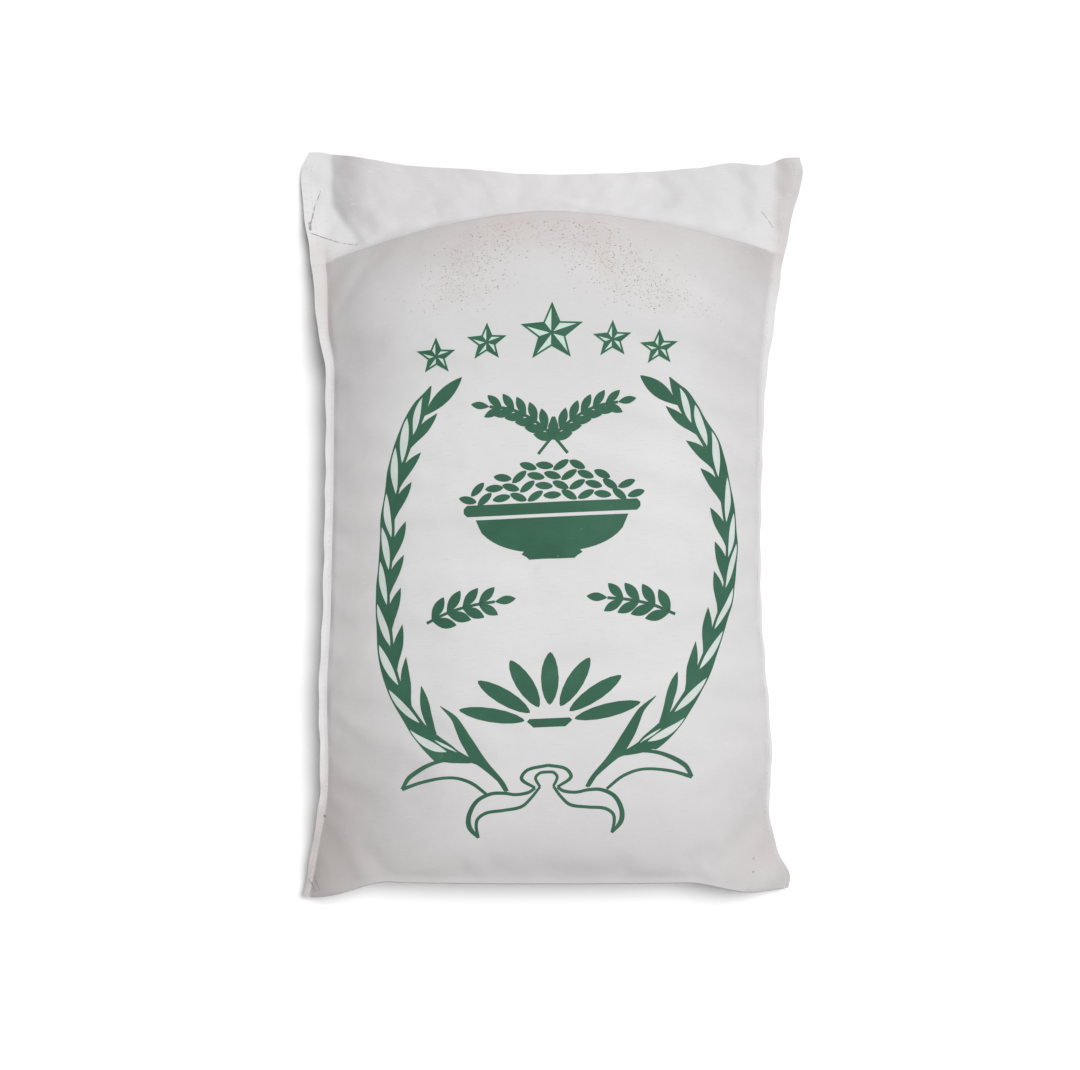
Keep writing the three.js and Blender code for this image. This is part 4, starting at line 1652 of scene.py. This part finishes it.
stitching, stitching_keys, given, result = new_tree("row_of_stitches", [
    "Pitch", "Stitch length", "Stitch width",
])
curve = put(stitching, "GeometryNodeMeshToCurve", {0: given["Geometry"]}).outputs[0]
stitch_places = put(stitching, "GeometryNodeCurveToPoints", {
    0: curve, "Length": given["Pitch"],
}, mode="LENGTH")
one_stitch = put(stitching, "GeometryNodeMeshUVSphere", {"Segments": 6, "Rings": 4, "Radius": 0.5})
stitch_size = vector_of(stitching, given["Stitch length"], given["Stitch width"], given["Stitch width"])
stitches = put(stitching, "GeometryNodeInstanceOnPoints", {
    "Points": stitch_places.outputs["Points"], "Instance": one_stitch.outputs["Mesh"],
    "Rotation": turn_along(stitching, stitch_places.outputs["Tangent"]), "Scale": stitch_size,
})
finish_tree(stitching, [stitches.outputs[0]], given["Material"], result)

thread_colour = (0.74, 0.73, 0.71, 1)
thread_shade = (0.62, 0.60, 0.58, 1)
thread, tree, shader = new_material("thread", 0.8, 0.2)
thread_tint = tint(tree, noise(tree, object_place(tree), 300.0), thread_colour, thread_shade)
feed(tree, shader.inputs["Base Color"], thread_tint)

seam_lines = []
for side in (-1, 1):
    columns = np.full(row_count, np.interp(side * stitch_column, across_columns, np.arange(column_count)))
    rows = np.arange(row_count, dtype=float)
    for grid in (front_grid, back_grid):
        seam_lines.append(on_grid(grid, columns, rows) * mm)
seam_mesh = bpy.data.meshes.new("seam_lines")
stitched_rows = range(2, row_count - 3)
seam_edges = [
    (i + line * row_count, i + 1 + line * row_count)
    for line in range(len(seam_lines)) for i in stitched_rows
]
seam_mesh.from_pydata(np.concatenate(seam_lines).tolist(), seam_edges, [])
stitch_mesh = made_by(stitching, stitching_keys, piece_of("seam_lines", seam_mesh), {
    "Pitch": stitch_pitch, "Stitch length": stitch_length, "Stitch width": stitch_width, "Material": thread,
})
stitch_mesh.shade_smooth()
seam_stitches = piece_of("seam_stitches", stitch_mesh)
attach(seam_stitches, "root")


# ---- The husk specks -----------------------------------------------------------------------
# Small flakes of rice husk, straw to dark brown, that stick to the front below the shoulder.
# They lie flat on the cloth, more of them across it than along.
husk_density = 150000
husk_length = 0.0020
husk_width = 0.0007
husk_thickness = 0.00025
husk_seed = 11

scatter, scatter_keys, given, result = new_tree("scattered_husks", [
    "Density", "Length", "Width", "Thickness",
], ["Seed"])
local_density = reckon(scatter, "MULTIPLY", given["Density"], named(scatter, "dust"))
husk_places = put(scatter, "GeometryNodeDistributePointsOnFaces", {
    "Mesh": given["Geometry"], "Density": local_density, "Seed": given["Seed"],
}, distribute_method="RANDOM")
way = put(scatter, "FunctionNodeRandomValue", {
    "Min": (-1, -0.5, 0), "Max": (1, 0.5, 0), "Seed": given["Seed"],
}, data_type="FLOAT_VECTOR")
size = put(scatter, "FunctionNodeRandomValue", {
    "Min": (0.45, 0.6, 1), "Max": (1.35, 1.3, 1), "Seed": reckon(scatter, "ADD", given["Seed"], 1.0),
}, data_type="FLOAT_VECTOR")
flake = put(scatter, "GeometryNodeMeshIcoSphere", {"Radius": 0.5, "Subdivisions": 1})
flake_form = put(scatter, "GeometryNodeTransform", {
    0: flake.outputs["Mesh"],
    "Scale": vector_of(scatter, given["Length"], given["Width"], given["Thickness"]),
})
flakes = put(scatter, "GeometryNodeInstanceOnPoints", {
    "Points": husk_places.outputs["Points"], "Instance": flake_form.outputs[0],
    "Rotation": turn_along(scatter, way.outputs[0]), "Scale": size.outputs[0],
})
tone = put(scatter, "FunctionNodeRandomValue", {
    2: 0.0, 3: 1.0, "Seed": reckon(scatter, "ADD", given["Seed"], 2.0),
}, data_type="FLOAT")
toned = put(scatter, "GeometryNodeStoreNamedAttribute", {
    "Geometry": flakes.outputs[0], "Name": "tone",
}, data_type="FLOAT", domain="INSTANCE")
scatter.links.new(tone.outputs[1], toned.inputs["Value"])
finish_tree(scatter, [toned.outputs[0]], given["Material"], result)

straw_colour = (0.50, 0.455, 0.405, 1)
brown_colour = (0.27, 0.23, 0.20, 1)
husk, tree, shader = new_material("husk", 0.8, 0.2)
darker = ramp(tree, attribute(tree, "tone"), 0.55, 1.05)
feed(tree, shader.inputs["Base Color"], tint(tree, darker, straw_colour, brown_colour))

dusty_from = 120
clear_columns = allowance_columns + 8
filled_rows = range(first_body_row, first_flap_row - wall_rows)
dusty_rows = [row for row in filled_rows if front_grid[row, middle_column, 1] > dusty_from]
dusty_grid = front_grid[dusty_rows[0]:dusty_rows[-1] + 1]
dusty_points = dusty_grid.reshape(-1, 3)
dusty_faces = []
for j in range(len(dusty_grid) - 1):
    for i in range(clear_columns, column_count - 1 - clear_columns):
        corner = j * column_count + i
        dusty_faces.append((corner, corner + 1, corner + column_count + 1, corner + column_count))
dusty_mesh = mesh_of("dusty_cloth", dusty_points, dusty_faces)
dusty_layer = dusty_mesh.attributes.new("dust", "FLOAT", "POINT")
dusty_layer.data.foreach_set("value", dust_at(dusty_points[:, 0], dusty_points[:, 1]).astype(np.float32))
husk_mesh = made_by(scatter, scatter_keys, piece_of("dusty_cloth", dusty_mesh), {
    "Density": float(husk_density), "Length": husk_length, "Width": husk_width,
    "Thickness": husk_thickness, "Seed": husk_seed, "Material": husk,
})
husk_specks = piece_of("husk_specks", husk_mesh)
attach(husk_specks, "root")


# ---- The floor and the light ---------------------------------------------------------------
# A wide plain white floor, one broad lamp high up on the right and an even soft room light.
floor_colour = (0.93, 0.93, 0.93, 1)
paler_floor = (0.95, 0.95, 0.95, 1)
floor_reach = 12
floor_corners = [(-1, -1), (1, -1), (1, 1), (-1, 1)]
floor_points = [(floor_reach * x, floor_reach * y, 0) for x, y in floor_corners]
floor_mesh = bpy.data.meshes.new("floor")
floor_mesh.from_pydata(floor_points, [], [(0, 1, 2, 3)])
floor_material, tree, shader = new_material("floor", 0.9, 0.1)
feed(tree, shader.inputs["Base Color"], tint(
    tree, noise(tree, object_place(tree), 6.0), floor_colour, paler_floor,
))
floor_mesh.materials.append(floor_material)
floor = piece_of("floor", floor_mesh)

lamp_lean_right = 15
lamp_lean_up = 13
lamp_data = bpy.data.lights.new("lamp", "SUN")
lamp_data.energy = 2.85
lamp_data.angle = math.radians(24)
lamp = bpy.data.objects.new("lamp", lamp_data)
lamp.rotation_euler = (-math.radians(lamp_lean_up), math.radians(lamp_lean_right), 0)
bpy.context.collection.objects.link(lamp)

room = bpy.data.worlds.new("room")
room.use_nodes = True
room.node_tree.nodes["Background"].inputs["Color"].default_value = (1, 1, 1, 1)
room.node_tree.nodes["Background"].inputs["Strength"].default_value = 0.23
bpy.context.scene.world = room
bpy.context.scene.view_settings.view_transform = "Standard"
